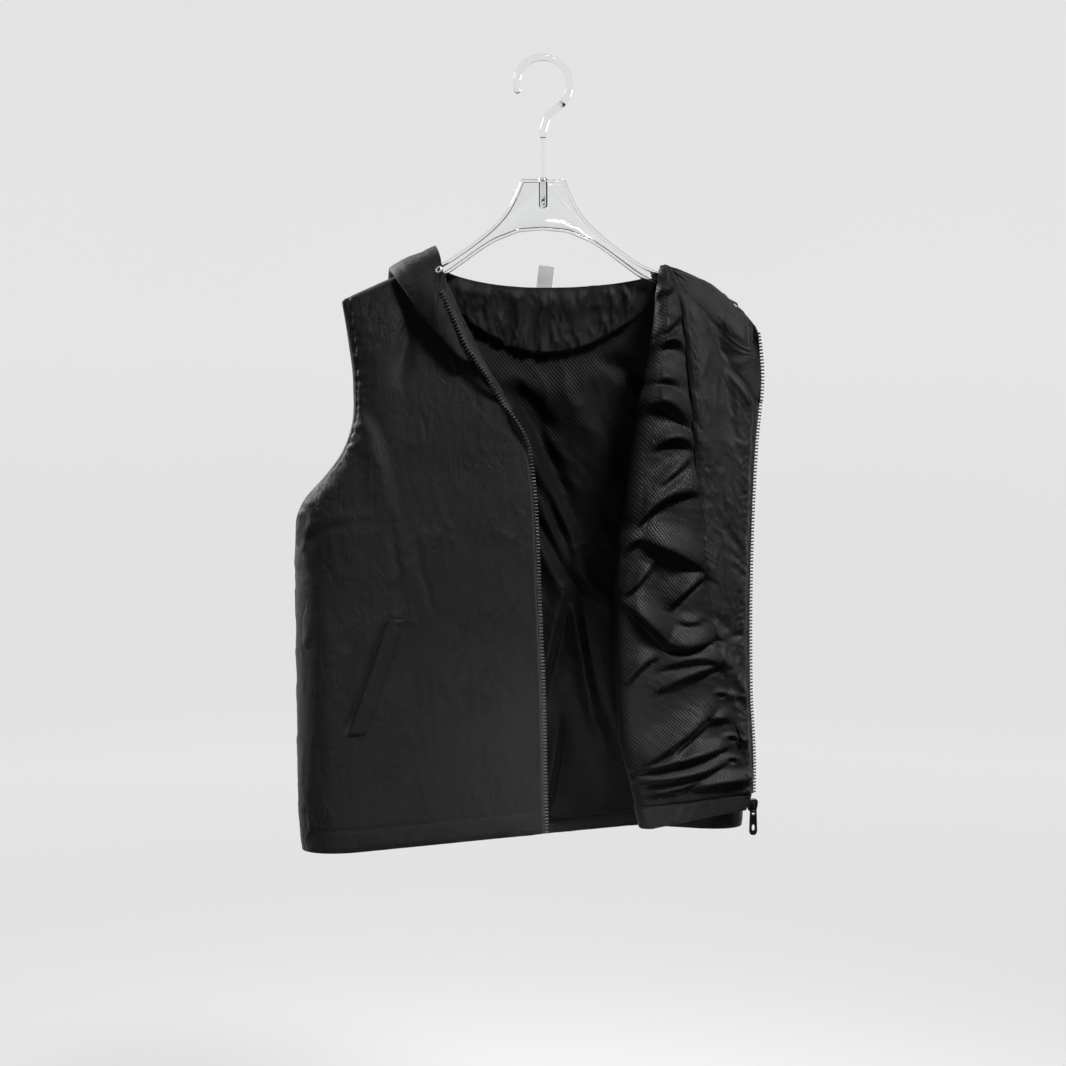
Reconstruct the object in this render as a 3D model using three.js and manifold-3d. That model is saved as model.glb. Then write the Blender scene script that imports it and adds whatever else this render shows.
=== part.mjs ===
// Hooded nylon vest with a mesh lining, hanging open on a clear plastic hanger.
// Millimetres, +Z up, the front faces -Y. The origin is where the hook hangs.
// Left and right are the wearer's, so the right front is on the -X side.
import * as THREE from "three";
import Module from "manifold-3d";

const wasm = await Module();
wasm.setup();

// Cloth walls and the gaps between layers
const SHELL = 1.2;
const LINER = 1.0;
const GAP = 0.4;
const SEAM_GAP = 0.8;

// Main sizes of the vest
const RIGHT_NECK = 120;
const LEFT_NECK = 135;
const NECK_TOP = -216;
const SHOULDER_TIP = 217;
const SHOULDER_SLOPE = 0.4536;
const RIGHT_HEM = -855;
const LEFT_HEM = -842;
const FOLD_HEM = -832;
const FLAP_HEM = -818;
const ZIP_FOOT = -838;
const NECK_POINT = -366;
const ARMPIT = -509;
const BACK_NECK_DROP = 30;
const HEM_TURN = 24;
const BACK_HEM_TURN = 13;
const SIDE_ROUND = 58;

// Outer edge of each panel by height: side seam, then armhole, then shoulder tip.
// half and backHalf are the half widths, front and back the depths of the two edges,
// pull is how far the folded front draws the left side in.
const SIDE = [
  { z: -874, half: 263, front: 0.3, backHalf: 263, back: 0.3, pull: 40 },
  { z: -784, half: 268, front: 0.3, backHalf: 268, back: 0.3, pull: 42 },
  { z: -694, half: 268, front: 0.3, backHalf: 268, back: 0.3, pull: 42 },
  { z: -594, half: 268, front: 0.3, backHalf: 268, back: 0.3, pull: 40 },
  { z: -509, half: 268, front: 0.3, backHalf: 268, back: 0.3, pull: 38 },
  { z: -492, half: 267, front: 5, backHalf: 264, back: 4, pull: 37 },
  { z: -472, half: 258, front: 12, backHalf: 251, back: 9, pull: 34 },
  { z: -448, half: 237, front: 18, backHalf: 228, back: 13, pull: 28 },
  { z: -421, half: 218, front: 20, backHalf: 208, back: 15, pull: 21 },
  { z: -388, half: 207, front: 19, backHalf: 197, back: 15, pull: 14 },
  { z: -349, half: 206, front: 15, backHalf: 197, back: 12, pull: 9 },
  { z: -300, half: 211, front: 8, backHalf: 205, back: 6, pull: 4 },
  { z: -260, half: 217, front: 0.4, backHalf: 217, back: 0.4, pull: 0 },
];

// Depth of the front and back from the hanger by the drop below the shoulder line
const DEPTH = [
  { drop: 0, front: 0.4, back: 0.4 },
  { drop: 2, front: 5.2, back: 5.2 },
  { drop: 8, front: 8, back: 8 },
  { drop: 20, front: 11, back: 10 },
  { drop: 45, front: 18, back: 14 },
  { drop: 80, front: 27, back: 21 },
  { drop: 130, front: 36, back: 27 },
  { drop: 190, front: 43, back: 31 },
  { drop: 300, front: 47, back: 35 },
  { drop: 450, front: 45, back: 37 },
  { drop: 700, front: 40, back: 38 },
];

// Front edge of the right panel by height: zip edge, then neckline
const RIGHT_EDGE = [
  { z: -838, x: -7 },
  { z: -754, x: -9 },
  { z: -674, x: -11 },
  { z: -594, x: -15 },
  { z: -514, x: -18 },
  { z: -464, x: -21 },
  { z: -414, x: -29 },
  { z: -366, x: -46 },
  { z: -334, x: -66 },
  { z: -304, x: -82 },
  { z: -274, x: -97 },
  { z: -244, x: -110 },
  { z: -216, x: -120 },
];

// Line where the left front turns back on itself, and its roll
const FOLD_LINE = [
  { z: -832, x: 102, roll: 10 },
  { z: -784, x: 90, roll: 11 },
  { z: -732, x: 78, roll: 12 },
  { z: -657, x: 72, roll: 12 },
  { z: -583, x: 71, roll: 12 },
  { z: -539, x: 74, roll: 12 },
  { z: -495, x: 80, roll: 12 },
  { z: -433, x: 88, roll: 11 },
  { z: -381, x: 98, roll: 10 },
  { z: -333, x: 108, roll: 9 },
  { z: -294, x: 116, roll: 8 },
  { z: -222, x: 128, roll: 7 },
];

// Zip edge of the folded-back front, and the width of the facing beside it
const LEFT_EDGE = [
  { z: -818, x: 219, y: -42, facing: 12 },
  { z: -796, x: 225, y: -45, facing: 12 },
  { z: -744, x: 223, y: -48, facing: 14 },
  { z: -694, x: 219, y: -51, facing: 24 },
  { z: -594, x: 217, y: -53, facing: 51 },
  { z: -494, x: 219, y: -52, facing: 63 },
  { z: -414, x: 223, y: -50, facing: 75 },
  { z: -366, x: 228, y: -47, facing: 84 },
];

// Hem of the back: how far it drops at each part of the width
const BACK_HEM = [
  { across: -1, z: -855 },
  { across: -0.7, z: -859 },
  { across: -0.35, z: -861 },
  { across: 0, z: -857 },
  { across: 0.4, z: -851 },
  { across: 0.75, z: -847 },
  { across: 1, z: -842 },
];

// Hood, from the right zip round the back of the neck to the left zip. Each row is one rib:
// out is the way it rolls over the seam and roll how far; low is where the cloth turns,
// hem is its free edge.
const HOOD = [
  { along: 0, out: 262, roll: 2.5, lowX: -84, lowY: -51, lowZ: -308, hemX: -110, hemY: -44, hemZ: -250 },
  { along: 0.06, out: 256, roll: 5, lowX: -88, lowY: -52, lowZ: -324, hemX: -112, hemY: -38, hemZ: -240 },
  { along: 0.12, out: 250, roll: 7, lowX: -120, lowY: -47, lowZ: -294, hemX: -112, hemY: -32, hemZ: -228 },
  { along: 0.25, out: 180, roll: 5, lowX: -165, lowY: -1, lowZ: -226, hemX: -116, hemY: 0, hemZ: -203 },
  { along: 0.3, out: 140, roll: 8, lowX: -165, lowY: 38, lowZ: -256, hemX: -115, hemY: 32, hemZ: -206 },
  { along: 0.37, out: 110, roll: 9, lowX: -134, lowY: 60, lowZ: -374, hemX: -110, hemY: 62, hemZ: -222 },
  { along: 0.5, out: 90, roll: 9, lowX: 4, lowY: 66, lowZ: -472, hemX: 6, hemY: 92, hemZ: -268 },
  { along: 0.63, out: 70, roll: 9, lowX: 142, lowY: 60, lowZ: -374, hemX: 160, hemY: 64, hemZ: -250 },
  { along: 0.7, out: 45, roll: 7, lowX: 180, lowY: 30, lowZ: -258, hemX: 197, hemY: 34, hemZ: -251 },
  { along: 0.75, out: 0, roll: 5, lowX: 178, lowY: 2, lowZ: -232, hemX: 209, hemY: 6, hemZ: -252 },
  { along: 0.88, out: -60, roll: 4, lowX: 205, lowY: -43, lowZ: -284, hemX: 222, hemY: -26, hemZ: -272 },
  { along: 1, out: -80, roll: 2.5, lowX: 230, lowY: -48, lowZ: -328, hemX: 228, hemY: -42, hemZ: -290 },
];

// Soft folds in the mesh lining of the folded-back front: a ridge from one end to the other
const LINING_FOLDS = [
  { x0: 100, z0: -524, x1: 159, z1: -549, wide: 26, high: 8 },
  { x0: 76, z0: -583, x1: 118, z1: -560, wide: 24, high: 6 },
  { x0: 88, z0: -590, x1: 142, z1: -621, wide: 26, high: 8 },
  { x0: 92, z0: -690, x1: 176, z1: -642, wide: 32, high: 9 },
  { x0: 90, z0: -757, x1: 173, z1: -697, wide: 26, high: 8 },
  { x0: 94, z0: -768, x1: 190, z1: -742, wide: 24, high: 6 },
  { x0: 106, z0: -388, x1: 140, z1: -400, wide: 24, high: 6 },
  { x0: 100, z0: -461, x1: 148, z1: -438, wide: 26, high: 6 },
];

// Pocket welt on the right front, as shares of the panel's width and height
const WELT_TOP = { across: 0.42, up: 0.412 };
const WELT_FOOT = { across: 0.262, up: 0.215 };
const WELT_WIDE = 15;

// Zip: how far it stands out from the edge, and its teeth
const ZIP_STEPS_ON_HOOD = 0.86;
const ZIP_REACH = 6.5;
const ZIP_LAPEL_REACH = 14;
const ZIP_TWIST = 150;
const TOOTH_WIDE = 4;
const TOOTH_HALF = 1.6;
const TAPE_HALF = 0.5;

// Colour, roughness and metalness of what the pieces are made of
const FINISH = {
  nylon: { color: 0x222224, roughness: 0.6, metalness: 0 },
  mesh: { color: 0x18181a, roughness: 0.7, metalness: 0 },
  zip: { color: 0x2c2c2e, roughness: 0.4, metalness: 0 },
  darkMetal: { color: 0x1c1c1e, roughness: 0.35, metalness: 0.8 },
  brightMetal: { color: 0xc8c8c8, roughness: 0.25, metalness: 1 },
  label: { color: 0xf2f2f0, roughness: 0.8, metalness: 0 },
  clear: { color: 0xf4f6f8, roughness: 0.08, metalness: 0, transparent: true, opacity: 0.35 },
};

// What each piece is made of, where that isn't nylon
const MADE_OF = {
  hanger_body: "clear",
  hanger_hook: "clear",
  back_lining: "mesh",
  left_front_lining: "mesh",
  right_zip: "zip",
  left_zip: "zip",
  zip_slider: "darkMetal",
  zip_pull: "darkMetal",
  hood_eyelet_right: "brightMetal",
  hood_eyelet_left: "brightMetal",
  neck_label: "label",
};

// Hanger
const HOOK_RING = 29;
const HOOK_THICK = 4;
const STEM_THICK = 2.4;
const STEM_FOOT = -144;
const HANGER_HALF = 3.5;
const WEB_HALF = 1.6;
const RIM_WIDE = 3.5;
const SOCKET = 2.8;
const HANGER_EDGE = [
  { x: 0, top: -127, foot: -182 },
  { x: 24, top: -127, foot: -184 },
  { x: 31, top: -144, foot: -186 },
  { x: 41, top: -162, foot: -190 },
  { x: 53, top: -176, foot: -195 },
  { x: 69, top: -190, foot: -205 },
  { x: 87, top: -203.5, foot: -218 },
  { x: 106, top: -216, foot: -231 },
  { x: 124, top: -224, foot: -239 },
  { x: 165, top: -238.8, foot: -255 },
  { x: 194, top: -252.4, foot: -268 },
  { x: 204, top: -259, foot: -267 },
];

const lerp = (a, b, t) => a + (b - a) * t;
const clamp = (t) => Math.min(1, Math.max(0, t));
const rad = (degrees) => (degrees * Math.PI) / 180;
const vec = (x, y, z) => new THREE.Vector3(x, y, z);

// A smooth curve through one column of a table, held at its end rows
function through(rows, by, column) {
  const n = rows.length;
  const at = rows.map((row) => row[by]);
  const value = rows.map((row) => row[column]);
  const slope = (k) => {
    const a = Math.max(0, k - 1);
    const b = Math.min(n - 1, k + 1);
    const turns = a < k && k < b && (value[b] - value[k]) * (value[k] - value[a]) <= 0;
    return turns ? 0 : (value[b] - value[a]) / (at[b] - at[a]);
  };
  return (x) => {
    if (x <= at[0]) return value[0];
    if (x >= at[n - 1]) return value[n - 1];
    let k = 0;
    while (x > at[k + 1]) k += 1;
    const w = at[k + 1] - at[k];
    const t = (x - at[k]) / w;
    const rise = value[k + 1] - value[k];
    const a = slope(k) * w - rise;
    const b = -slope(k + 1) * w + rise;
    return value[k] + rise * t + t * (1 - t) * (a * (1 - t) + b * t);
  };
}

// Evenly spaced steps between named stations
function steps(stations, counts) {
  const list = [stations[0]];
  counts.forEach((count, k) => {
    for (let i = 1; i <= count; i += 1) list.push(lerp(stations[k], stations[k + 1], i / count));
  });
  return list;
}

// A sheet: points on a grid with the way out of the cloth at each
function sheet(us, vs, place, outward) {
  return fromGrid(us.map((u) => vs.map((v) => place(u, v))), outward);
}

function fromGrid(P, outward) {
  const nu = P.length;
  const nv = P[0].length;
  const N = P.map((column, i) =>
    column.map((p, j) => {
      const du = P[Math.min(nu - 1, i + 1)][j].clone().sub(P[Math.max(0, i - 1)][j]);
      const dv = column[Math.min(nv - 1, j + 1)].clone().sub(column[Math.max(0, j - 1)]);
      return du.cross(dv).multiplyScalar(outward).normalize();
    })
  );
  return { P, N, nu, nv, outward };
}

function meshOf(name, positions, triangles) {
  const geometry = new THREE.BufferGeometry();
  geometry.setAttribute("position", new THREE.Float32BufferAttribute(positions, 3));
  geometry.setIndex(triangles);
  geometry.computeVertexNormals();
  const finish = FINISH[MADE_OF[name] ?? "nylon"];
  const mesh = new THREE.Mesh(geometry, new THREE.MeshStandardMaterial(finish));
  mesh.name = name;
  return mesh;
}

// A cloth wall on part of a sheet, between two offsets along the way out of the cloth.
// trim pulls each free border in so that neighbours keep a gap.
function wall(name, grid, { i0 = 0, i1, j0 = 0, j1, inner, outer, trim = {} }) {
  const iEnd = i1 ?? grid.nu - 1;
  const jEnd = j1 ?? grid.nv - 1;
  const wide = iEnd - i0 + 1;
  const tall = jEnd - j0 + 1;
  const amount = (offset, i, j) => (typeof offset === "function" ? offset(i, j) : offset);
  const positions = [];
  const toward = (i, j, i2, j2, gap) => {
    const way = grid.P[i2][j2].clone().sub(grid.P[i][j]);
    return way.normalize().multiplyScalar(gap);
  };
  for (const side of [outer, inner]) {
    for (let j = j0; j <= jEnd; j += 1) {
      for (let i = i0; i <= iEnd; i += 1) {
        const p = grid.P[i][j].clone().addScaledVector(grid.N[i][j], amount(side, i, j));
        if (i === i0 && trim.start) p.add(toward(i, j, i + 1, j, trim.start));
        if (i === iEnd && trim.end) p.add(toward(i, j, i - 1, j, trim.end));
        if (j === j0 && trim.foot) p.add(toward(i, j, i, j + 1, trim.foot));
        if (j === jEnd && trim.top) p.add(toward(i, j, i, j - 1, trim.top));
        positions.push(p.x, p.y, p.z);
      }
    }
  }
  const count = wide * tall;
  const triangles = [];
  const put = (a, b, c) => (grid.outward > 0 ? triangles.push(a, b, c) : triangles.push(a, c, b));
  for (let j = 0; j < tall - 1; j += 1) {
    for (let i = 0; i < wide - 1; i += 1) {
      const a = j * wide + i;
      const b = a + 1;
      const c = b + wide;
      const d = a + wide;
      put(a, b, c);
      put(a, c, d);
      put(a + count, c + count, b + count);
      put(a + count, d + count, c + count);
    }
  }
  const rim = (p, q) => {
    put(q, p, p + count);
    put(q, p + count, q + count);
  };
  for (let i = 0; i < wide - 1; i += 1) {
    rim(i, i + 1);
    rim((tall - 1) * wide + i + 1, (tall - 1) * wide + i);
  }
  for (let j = 0; j < tall - 1; j += 1) {
    rim(j * wide + wide - 1, (j + 1) * wide + wide - 1);
    rim((j + 1) * wide, j * wide);
  }
  return meshOf(name, positions, triangles);
}

// A round bar along a path, with its own radius at each point
function bar(name, path, radii, sides) {
  const positions = [];
  const triangles = [];
  const across = vec(0, 1, 0);
  path.forEach((p, k) => {
    const way = path[Math.min(path.length - 1, k + 1)].clone().sub(path[Math.max(0, k - 1)]);
    const side = way.normalize().clone().cross(across).normalize();
    for (let s = 0; s < sides; s += 1) {
      const turn = (2 * Math.PI * s) / sides;
      const q = p.clone();
      q.addScaledVector(side, radii[k] * Math.cos(turn));
      q.addScaledVector(across, radii[k] * Math.sin(turn));
      positions.push(q.x, q.y, q.z);
    }
  });
  for (let k = 0; k < path.length - 1; k += 1) {
    for (let s = 0; s < sides; s += 1) {
      const a = k * sides + s;
      const b = k * sides + ((s + 1) % sides);
      triangles.push(a, a + sides, b, b, a + sides, b + sides);
    }
  }
  const last = (path.length - 1) * sides;
  for (let s = 1; s < sides - 1; s += 1) {
    triangles.push(0, s, s + 1);
    triangles.push(last, last + s + 1, last + s);
  }
  return meshOf(name, positions, triangles);
}

// Joining and cutting of plain solids
function solid(geometry) {
  const position = geometry.getAttribute("position");
  const index = geometry.index ? Array.from(geometry.index.array) : [...Array(position.count).keys()];
  const keys = new Map();
  const points = [];
  const same = index.map((k) => {
    const p = [position.getX(k), position.getY(k), position.getZ(k)];
    const key = p.map((value) => Math.round(value * 1e4)).join(",");
    if (!keys.has(key)) {
      keys.set(key, points.length / 3);
      points.push(...p);
    }
    return keys.get(key);
  });
  const kept = [];
  for (let k = 0; k < same.length; k += 3) {
    const [a, b, c] = same.slice(k, k + 3);
    if (a !== b && b !== c && a !== c) kept.push(a, b, c);
  }
  const mesh = new wasm.Mesh({
    numProp: 3,
    vertProperties: new Float32Array(points),
    triVerts: new Uint32Array(kept),
  });
  return new wasm.Manifold(mesh);
}

function meshOfSolid(name, body) {
  const made = body.getMesh();
  return meshOf(name, Array.from(made.vertProperties), Array.from(made.triVerts));
}

// Extruded outline in the XZ plane, centred on a depth
function plate(outline, half, depth = 0) {
  const shape = new THREE.Shape(outline.map(([x, z]) => new THREE.Vector2(x, z)));
  const geometry = new THREE.ExtrudeGeometry(shape, { depth: 2 * half, bevelEnabled: false });
  geometry.rotateX(Math.PI / 2);
  geometry.translate(0, half + depth, 0);
  return geometry;
}

// Shape of the body panels
const sideHalf = through(SIDE, "z", "half");
const sideFront = through(SIDE, "z", "front");
const sideBackHalf = through(SIDE, "z", "backHalf");
const sideBack = through(SIDE, "z", "back");
const sidePull = through(SIDE, "z", "pull");
const frontDepth = through(DEPTH, "drop", "front");
const backDepth = through(DEPTH, "drop", "back");
const rightEdgeX = through(RIGHT_EDGE, "z", "x");
const foldX = through(FOLD_LINE, "z", "x");
const foldRoll = through(FOLD_LINE, "z", "roll");
const leftEdgeX = through(LEFT_EDGE, "z", "x");
const leftEdgeY = through(LEFT_EDGE, "z", "y");
const facingWide = through(LEFT_EDGE, "z", "facing");
const backHemZ = through(BACK_HEM, "across", "z");

const tipZ = NECK_TOP - (SHOULDER_TIP - RIGHT_NECK) * SHOULDER_SLOPE;
const shoulderZ = (x) => NECK_TOP - (Math.abs(x) - RIGHT_NECK) * SHOULDER_SLOPE;
const dropAt = (x, z) => Math.max(0, shoulderZ(x) - z);

// Side rounding: what share of the depth is reached at a distance in from the edge
const roundShare = (inward) => Math.sqrt(Math.max(0, 1 - (1 - clamp(inward / SIDE_ROUND)) ** 2));

const ROUND_PART = 0.28;

function rightFront(u, v) {
  const zOut = lerp(RIGHT_HEM, tipZ, v);
  const zIn = lerp(ZIP_FOOT, NECK_TOP, v);
  const xOut = -sideHalf(zOut);
  const xIn = rightEdgeX(zIn);
  const span = xIn - xOut;
  const round = Math.min(SIDE_ROUND, span * 0.55);
  const inward =
    u < ROUND_PART
      ? round * (1 - Math.cos((u / ROUND_PART) * (Math.PI / 2)))
      : lerp(round, span, (u - ROUND_PART) / (1 - ROUND_PART));
  const x = xOut + inward;
  const z = lerp(zOut, zIn, inward / span);
  const share = Math.sqrt(Math.max(0, 1 - (1 - clamp(inward / round)) ** 2));
  const y = -lerp(sideFront(zOut), frontDepth(dropAt(x, z)), share);
  return vec(x, y, z);
}

// Back: u runs from -1 at the right side seam to 1 at the left
const neckHalf = (across) => (across < 0 ? RIGHT_NECK : LEFT_NECK);
const BACK_ROUND = 0.76;

function backAcross(u) {
  const size = Math.abs(u);
  if (size <= BACK_ROUND) return u;
  const turn = ((1 - size) / (1 - BACK_ROUND)) * (Math.PI / 2);
  return Math.sign(u) * (1 - (1 - BACK_ROUND) * (1 - Math.cos(turn)));
}

function backTopZ(across) {
  const x = Math.abs(across) * SHOULDER_TIP;
  const half = neckHalf(across);
  if (x >= half - 0.01) return shoulderZ(x);
  const dip = Math.sqrt(1 - (x / half) ** 2);
  return lerp(shoulderZ(half), NECK_TOP - BACK_NECK_DROP, dip);
}

function back(u, v) {
  const across = backAcross(u);
  const z = lerp(backHemZ(across), backTopZ(across), v);
  const edgeZ = lerp(across < 0 ? RIGHT_HEM : LEFT_HEM, tipZ, v);
  const half = sideBackHalf(edgeZ) - (across < 0 ? 0 : sidePull(edgeZ));
  const x = across * half;
  const inward = ((1 - Math.abs(across)) / (1 - BACK_ROUND)) * SIDE_ROUND;
  const y = lerp(sideBack(edgeZ), backDepth(dropAt(x, z)), roundShare(inward));
  return vec(x, y, z);
}

// Left front: side rounding, panel under the fold, the fold, the turned-back part
const LEFT_STATIONS = { round: 0.18, fold: 0.36, turned: 0.46 };

function leftFront(u, v) {
  const zOut = lerp(LEFT_HEM, tipZ, v);
  const zFold = lerp(FOLD_HEM, shoulderZ(LEFT_NECK), v);
  const zEdge = lerp(FLAP_HEM, NECK_POINT, v);
  const xOut = sideHalf(zOut) - sidePull(zOut);
  const roll = foldRoll(zFold);
  const xFold = foldX(zFold);
  const xTurn = xFold + roll;
  const span = xOut - xTurn;
  const round = Math.min(SIDE_ROUND, span * 0.55);
  const { round: a, fold: b, turned: c } = LEFT_STATIONS;
  const yTurn = -frontDepth(dropAt(xTurn, zFold));
  if (u <= b) {
    const inward =
      u < a
        ? round * (1 - Math.cos((u / a) * (Math.PI / 2)))
        : lerp(round, span, (u - a) / (b - a));
    const x = xOut - inward;
    const z = lerp(zOut, zFold, inward / span);
    const share = Math.sqrt(Math.max(0, 1 - (1 - clamp(inward / round)) ** 2));
    return vec(x, -lerp(sideFront(zOut), frontDepth(dropAt(x, z)), share), z);
  }
  if (u <= c) {
    const turn = ((u - b) / (c - b)) * Math.PI;
    return vec(xTurn - roll * Math.sin(turn), yTurn - roll * (1 - Math.cos(turn)), zFold);
  }
  const q = (u - c) / (1 - c);
  const xEdge = leftEdgeX(zEdge);
  const lead = 1 - facingWide(zEdge) / (xEdge - xTurn);
  const f = q < 0.6 ? (q / 0.6) * lead : lerp(lead, 1, (q - 0.6) / 0.4);
  const x = lerp(xTurn, xEdge, f);
  const z = lerp(zFold, zEdge, 1 - (1 - f) ** 1.35);
  const y = lerp(yTurn - 2 * roll, leftEdgeY(zEdge), f) - 5 * Math.sin(Math.PI * f);
  return vec(x, y, z);
}

const rightLength = tipZ - RIGHT_HEM;
const hemShare = HEM_TURN / rightLength;
const armpitShare = (ARMPIT - RIGHT_HEM) / rightLength;
const neckShare = (NECK_POINT - ZIP_FOOT) / (NECK_TOP - ZIP_FOOT);
const lowerShoulder = 1 - 20 / rightLength;
const upperShoulder = 1 - 2.2 / rightLength;

const frontRows = steps(
  [0, hemShare, armpitShare, neckShare, lowerShoulder, upperShoulder, 1],
  [1, 7, 5, 4, 2, 1]
);
const neckRow = 13;
const rightColumns = steps([0, ROUND_PART, 1], [4, 7]);
const leftColumns = steps(
  [0, LEFT_STATIONS.round, LEFT_STATIONS.fold, LEFT_STATIONS.turned, 0.784, 1],
  [4, 3, 4, 6, 3]
);
const foldColumn = 7;
const turnColumn = 11;
const facingColumn = 17;
const neckArc = steps([-90, 90], [10]).map(
  (turn) => (neckHalf(turn) / SHOULDER_TIP) * Math.sin(rad(turn))
);
const outerColumns = (half) => steps([half / SHOULDER_TIP, BACK_ROUND, 1], [2, 4]).slice(1);
const backColumns = [
  ...outerColumns(RIGHT_NECK).map((u) => -u).reverse(),
  ...neckArc,
  ...outerColumns(LEFT_NECK),
];
const neckColumns = [6, 16];
const facingShare = 1 - 70 / 610;
const backHemShare = BACK_HEM_TURN / rightLength;
const backRows = steps(
  [0, backHemShare, armpitShare, 0.78, facingShare, lowerShoulder, upperShoulder, 1],
  [1, 6, 4, 2, 2, 2, 1]
);
const facingRow = 13;

const rightSheet = sheet(rightColumns, frontRows, rightFront, 1);
const leftSheet = sheet(leftColumns, frontRows, leftFront, -1);
const backSheet = sheet(backColumns, backRows, back, -1);

// Height of the soft folds in the lining at one point
function foldHeight(p) {
  return LINING_FOLDS.reduce((height, fold) => {
    const ax = fold.x1 - fold.x0;
    const az = fold.z1 - fold.z0;
    const t = clamp(((p.x - fold.x0) * ax + (p.z - fold.z0) * az) / (ax * ax + az * az));
    const off = Math.hypot(p.x - fold.x0 - ax * t, p.z - fold.z0 - az * t);
    return height + fold.high * Math.exp(-((off / fold.wide) ** 2) * 2.5);
  }, 0);
}

// Hood ribs start on the neck seam, on the same points as the panels they meet
const seam = [];
const lastRow = frontRows.length - 1;
const lastBackRow = backRows.length - 1;
function seamStart(panel, i, j, i2, j2) {
  const p = panel.P[i][j];
  const rise = p.clone().sub(panel.P[i2][j2]).setY(0).normalize();
  const over = 2.4 * SHELL * Math.max(0, panel.N[i][j].dot(rise));
  return { start: p.clone().addScaledVector(rise, SEAM_GAP + over), rise };
}

for (let j = neckRow; j <= lastRow; j += 1) {
  seam.push(seamStart(rightSheet, rightSheet.nu - 1, j, rightSheet.nu - 2, j));
}
for (let i = neckColumns[0] + 1; i < neckColumns[1]; i += 1) {
  seam.push(seamStart(backSheet, i, lastBackRow, i, lastBackRow - 2));
}
for (let i = foldColumn; i < leftSheet.nu; i += 1) {
  seam.push(seamStart(leftSheet, i, lastRow, i, lastRow - 3));
}

// Share of the way round the neck: the shoulders lie at a quarter and three quarters
const rightCount = lastRow - neckRow;
const backCount = neckColumns[1] - neckColumns[0];
const leftCount = leftSheet.nu - 1 - foldColumn;
const alongOf = (k) => {
  if (k <= rightCount) return (0.25 * k) / rightCount;
  if (k <= rightCount + backCount) return 0.25 + (0.5 * (k - rightCount)) / backCount;
  return 0.75 + (0.25 * (k - rightCount - backCount)) / leftCount;
};

const hoodColumn = {};
for (const key of ["out", "roll", "lowX", "lowY", "lowZ", "hemX", "hemY", "hemZ"]) {
  hoodColumn[key] = through(HOOD, "along", key);
}

function hoodRib(along, { start, rise }) {
  const of = (key) => hoodColumn[key](along);
  const way = vec(Math.cos(rad(of("out"))), Math.sin(rad(of("out"))), 0);
  const roll = of("roll");
  const low = vec(of("lowX"), of("lowY"), of("lowZ"));
  const hem = vec(of("hemX"), of("hemY"), of("hemZ"));
  const crest = start.clone().addScaledVector(rise, roll).addScaledVector(way, roll * 0.2);
  const over = start.clone().addScaledVector(rise, roll).addScaledVector(way, roll * 1.4);
  const belly = low.clone().lerp(hem, 0.35).addScaledVector(way, roll * 1.2);
  return new THREE.CatmullRomCurve3([start, crest, over, low, belly, hem], false, "centripetal");
}

const hoodSteps = steps([0, 0.2, 0.4, 0.6, 0.8, 0.94, 1], [1, 1, 4, 3, 2, 1]);
const hoodGrid = seam.map((place, k) => {
  const rib = hoodRib(alongOf(k), place);
  return hoodSteps.map((t) => rib.getPoint(t));
});
const hoodSheet = fromGrid(hoodGrid, -1);

// Zip: a strip that stands out from the cloth's edge; on the collar it rolls outward
function zipStrip(name, edges) {
  const grid = [0, 1, 2, 3].map(() => []);
  edges.forEach(({ point, away, face, twist, reach }) => {
    const way = away.clone().multiplyScalar(Math.cos(rad(twist)));
    way.addScaledVector(face, Math.sin(rad(twist)));
    const marks = [0, reach - TOOTH_WIDE - 0.3, reach - TOOTH_WIDE, reach];
    const lift = lerp(SHELL / 2, SHELL + 2.2, clamp(twist / ZIP_TWIST));
    const base = point.clone().addScaledVector(away, SEAM_GAP).addScaledVector(face, lift);
    marks.forEach((mark, i) => grid[i].push(base.clone().addScaledVector(way, mark)));
  });
  const strip = fromGrid(grid, 1);
  const half = (i) => (i < 2 ? TAPE_HALF : TOOTH_HALF);
  return wall(name, strip, { inner: (i) => -half(i), outer: (i) => half(i) });
}

function edgesOf(sheetHere, column, inside, rows, twistAt, reachAt) {
  return rows.map((j) => {
    const point = sheetHere.P[column][j];
    const away = point.clone().sub(sheetHere.P[inside][j]).normalize();
    return { point, away, face: sheetHere.N[column][j], twist: twistAt(j), reach: reachAt(j) };
  });
}

const range = (from, to) => Array.from({ length: to - from + 1 }, (_, k) => from + k);
const hoodTop = hoodSteps.findIndex((t) => t >= ZIP_STEPS_ON_HOOD);
const lapel = (j) => clamp((j - (neckRow - 4)) / 4);
const rightZipEdges = [
  ...edgesOf(rightSheet, rightSheet.nu - 1, rightSheet.nu - 2, range(0, neckRow - 1),
    (j) => ZIP_TWIST * lapel(j) ** 2, (j) => lerp(ZIP_REACH, ZIP_LAPEL_REACH, lapel(j))),
  ...edgesOf(hoodSheet, 0, 1, range(3, hoodTop), () => ZIP_TWIST, () => ZIP_LAPEL_REACH),
];
const leftZipEdges = [
  ...edgesOf(leftSheet, leftSheet.nu - 1, leftSheet.nu - 2, range(1, lastRow - 1),
    () => 0, () => ZIP_REACH),
  ...edgesOf(hoodSheet, hoodSheet.nu - 1, hoodSheet.nu - 2, range(1, hoodTop),
    () => 0, () => ZIP_REACH),
];

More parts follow.
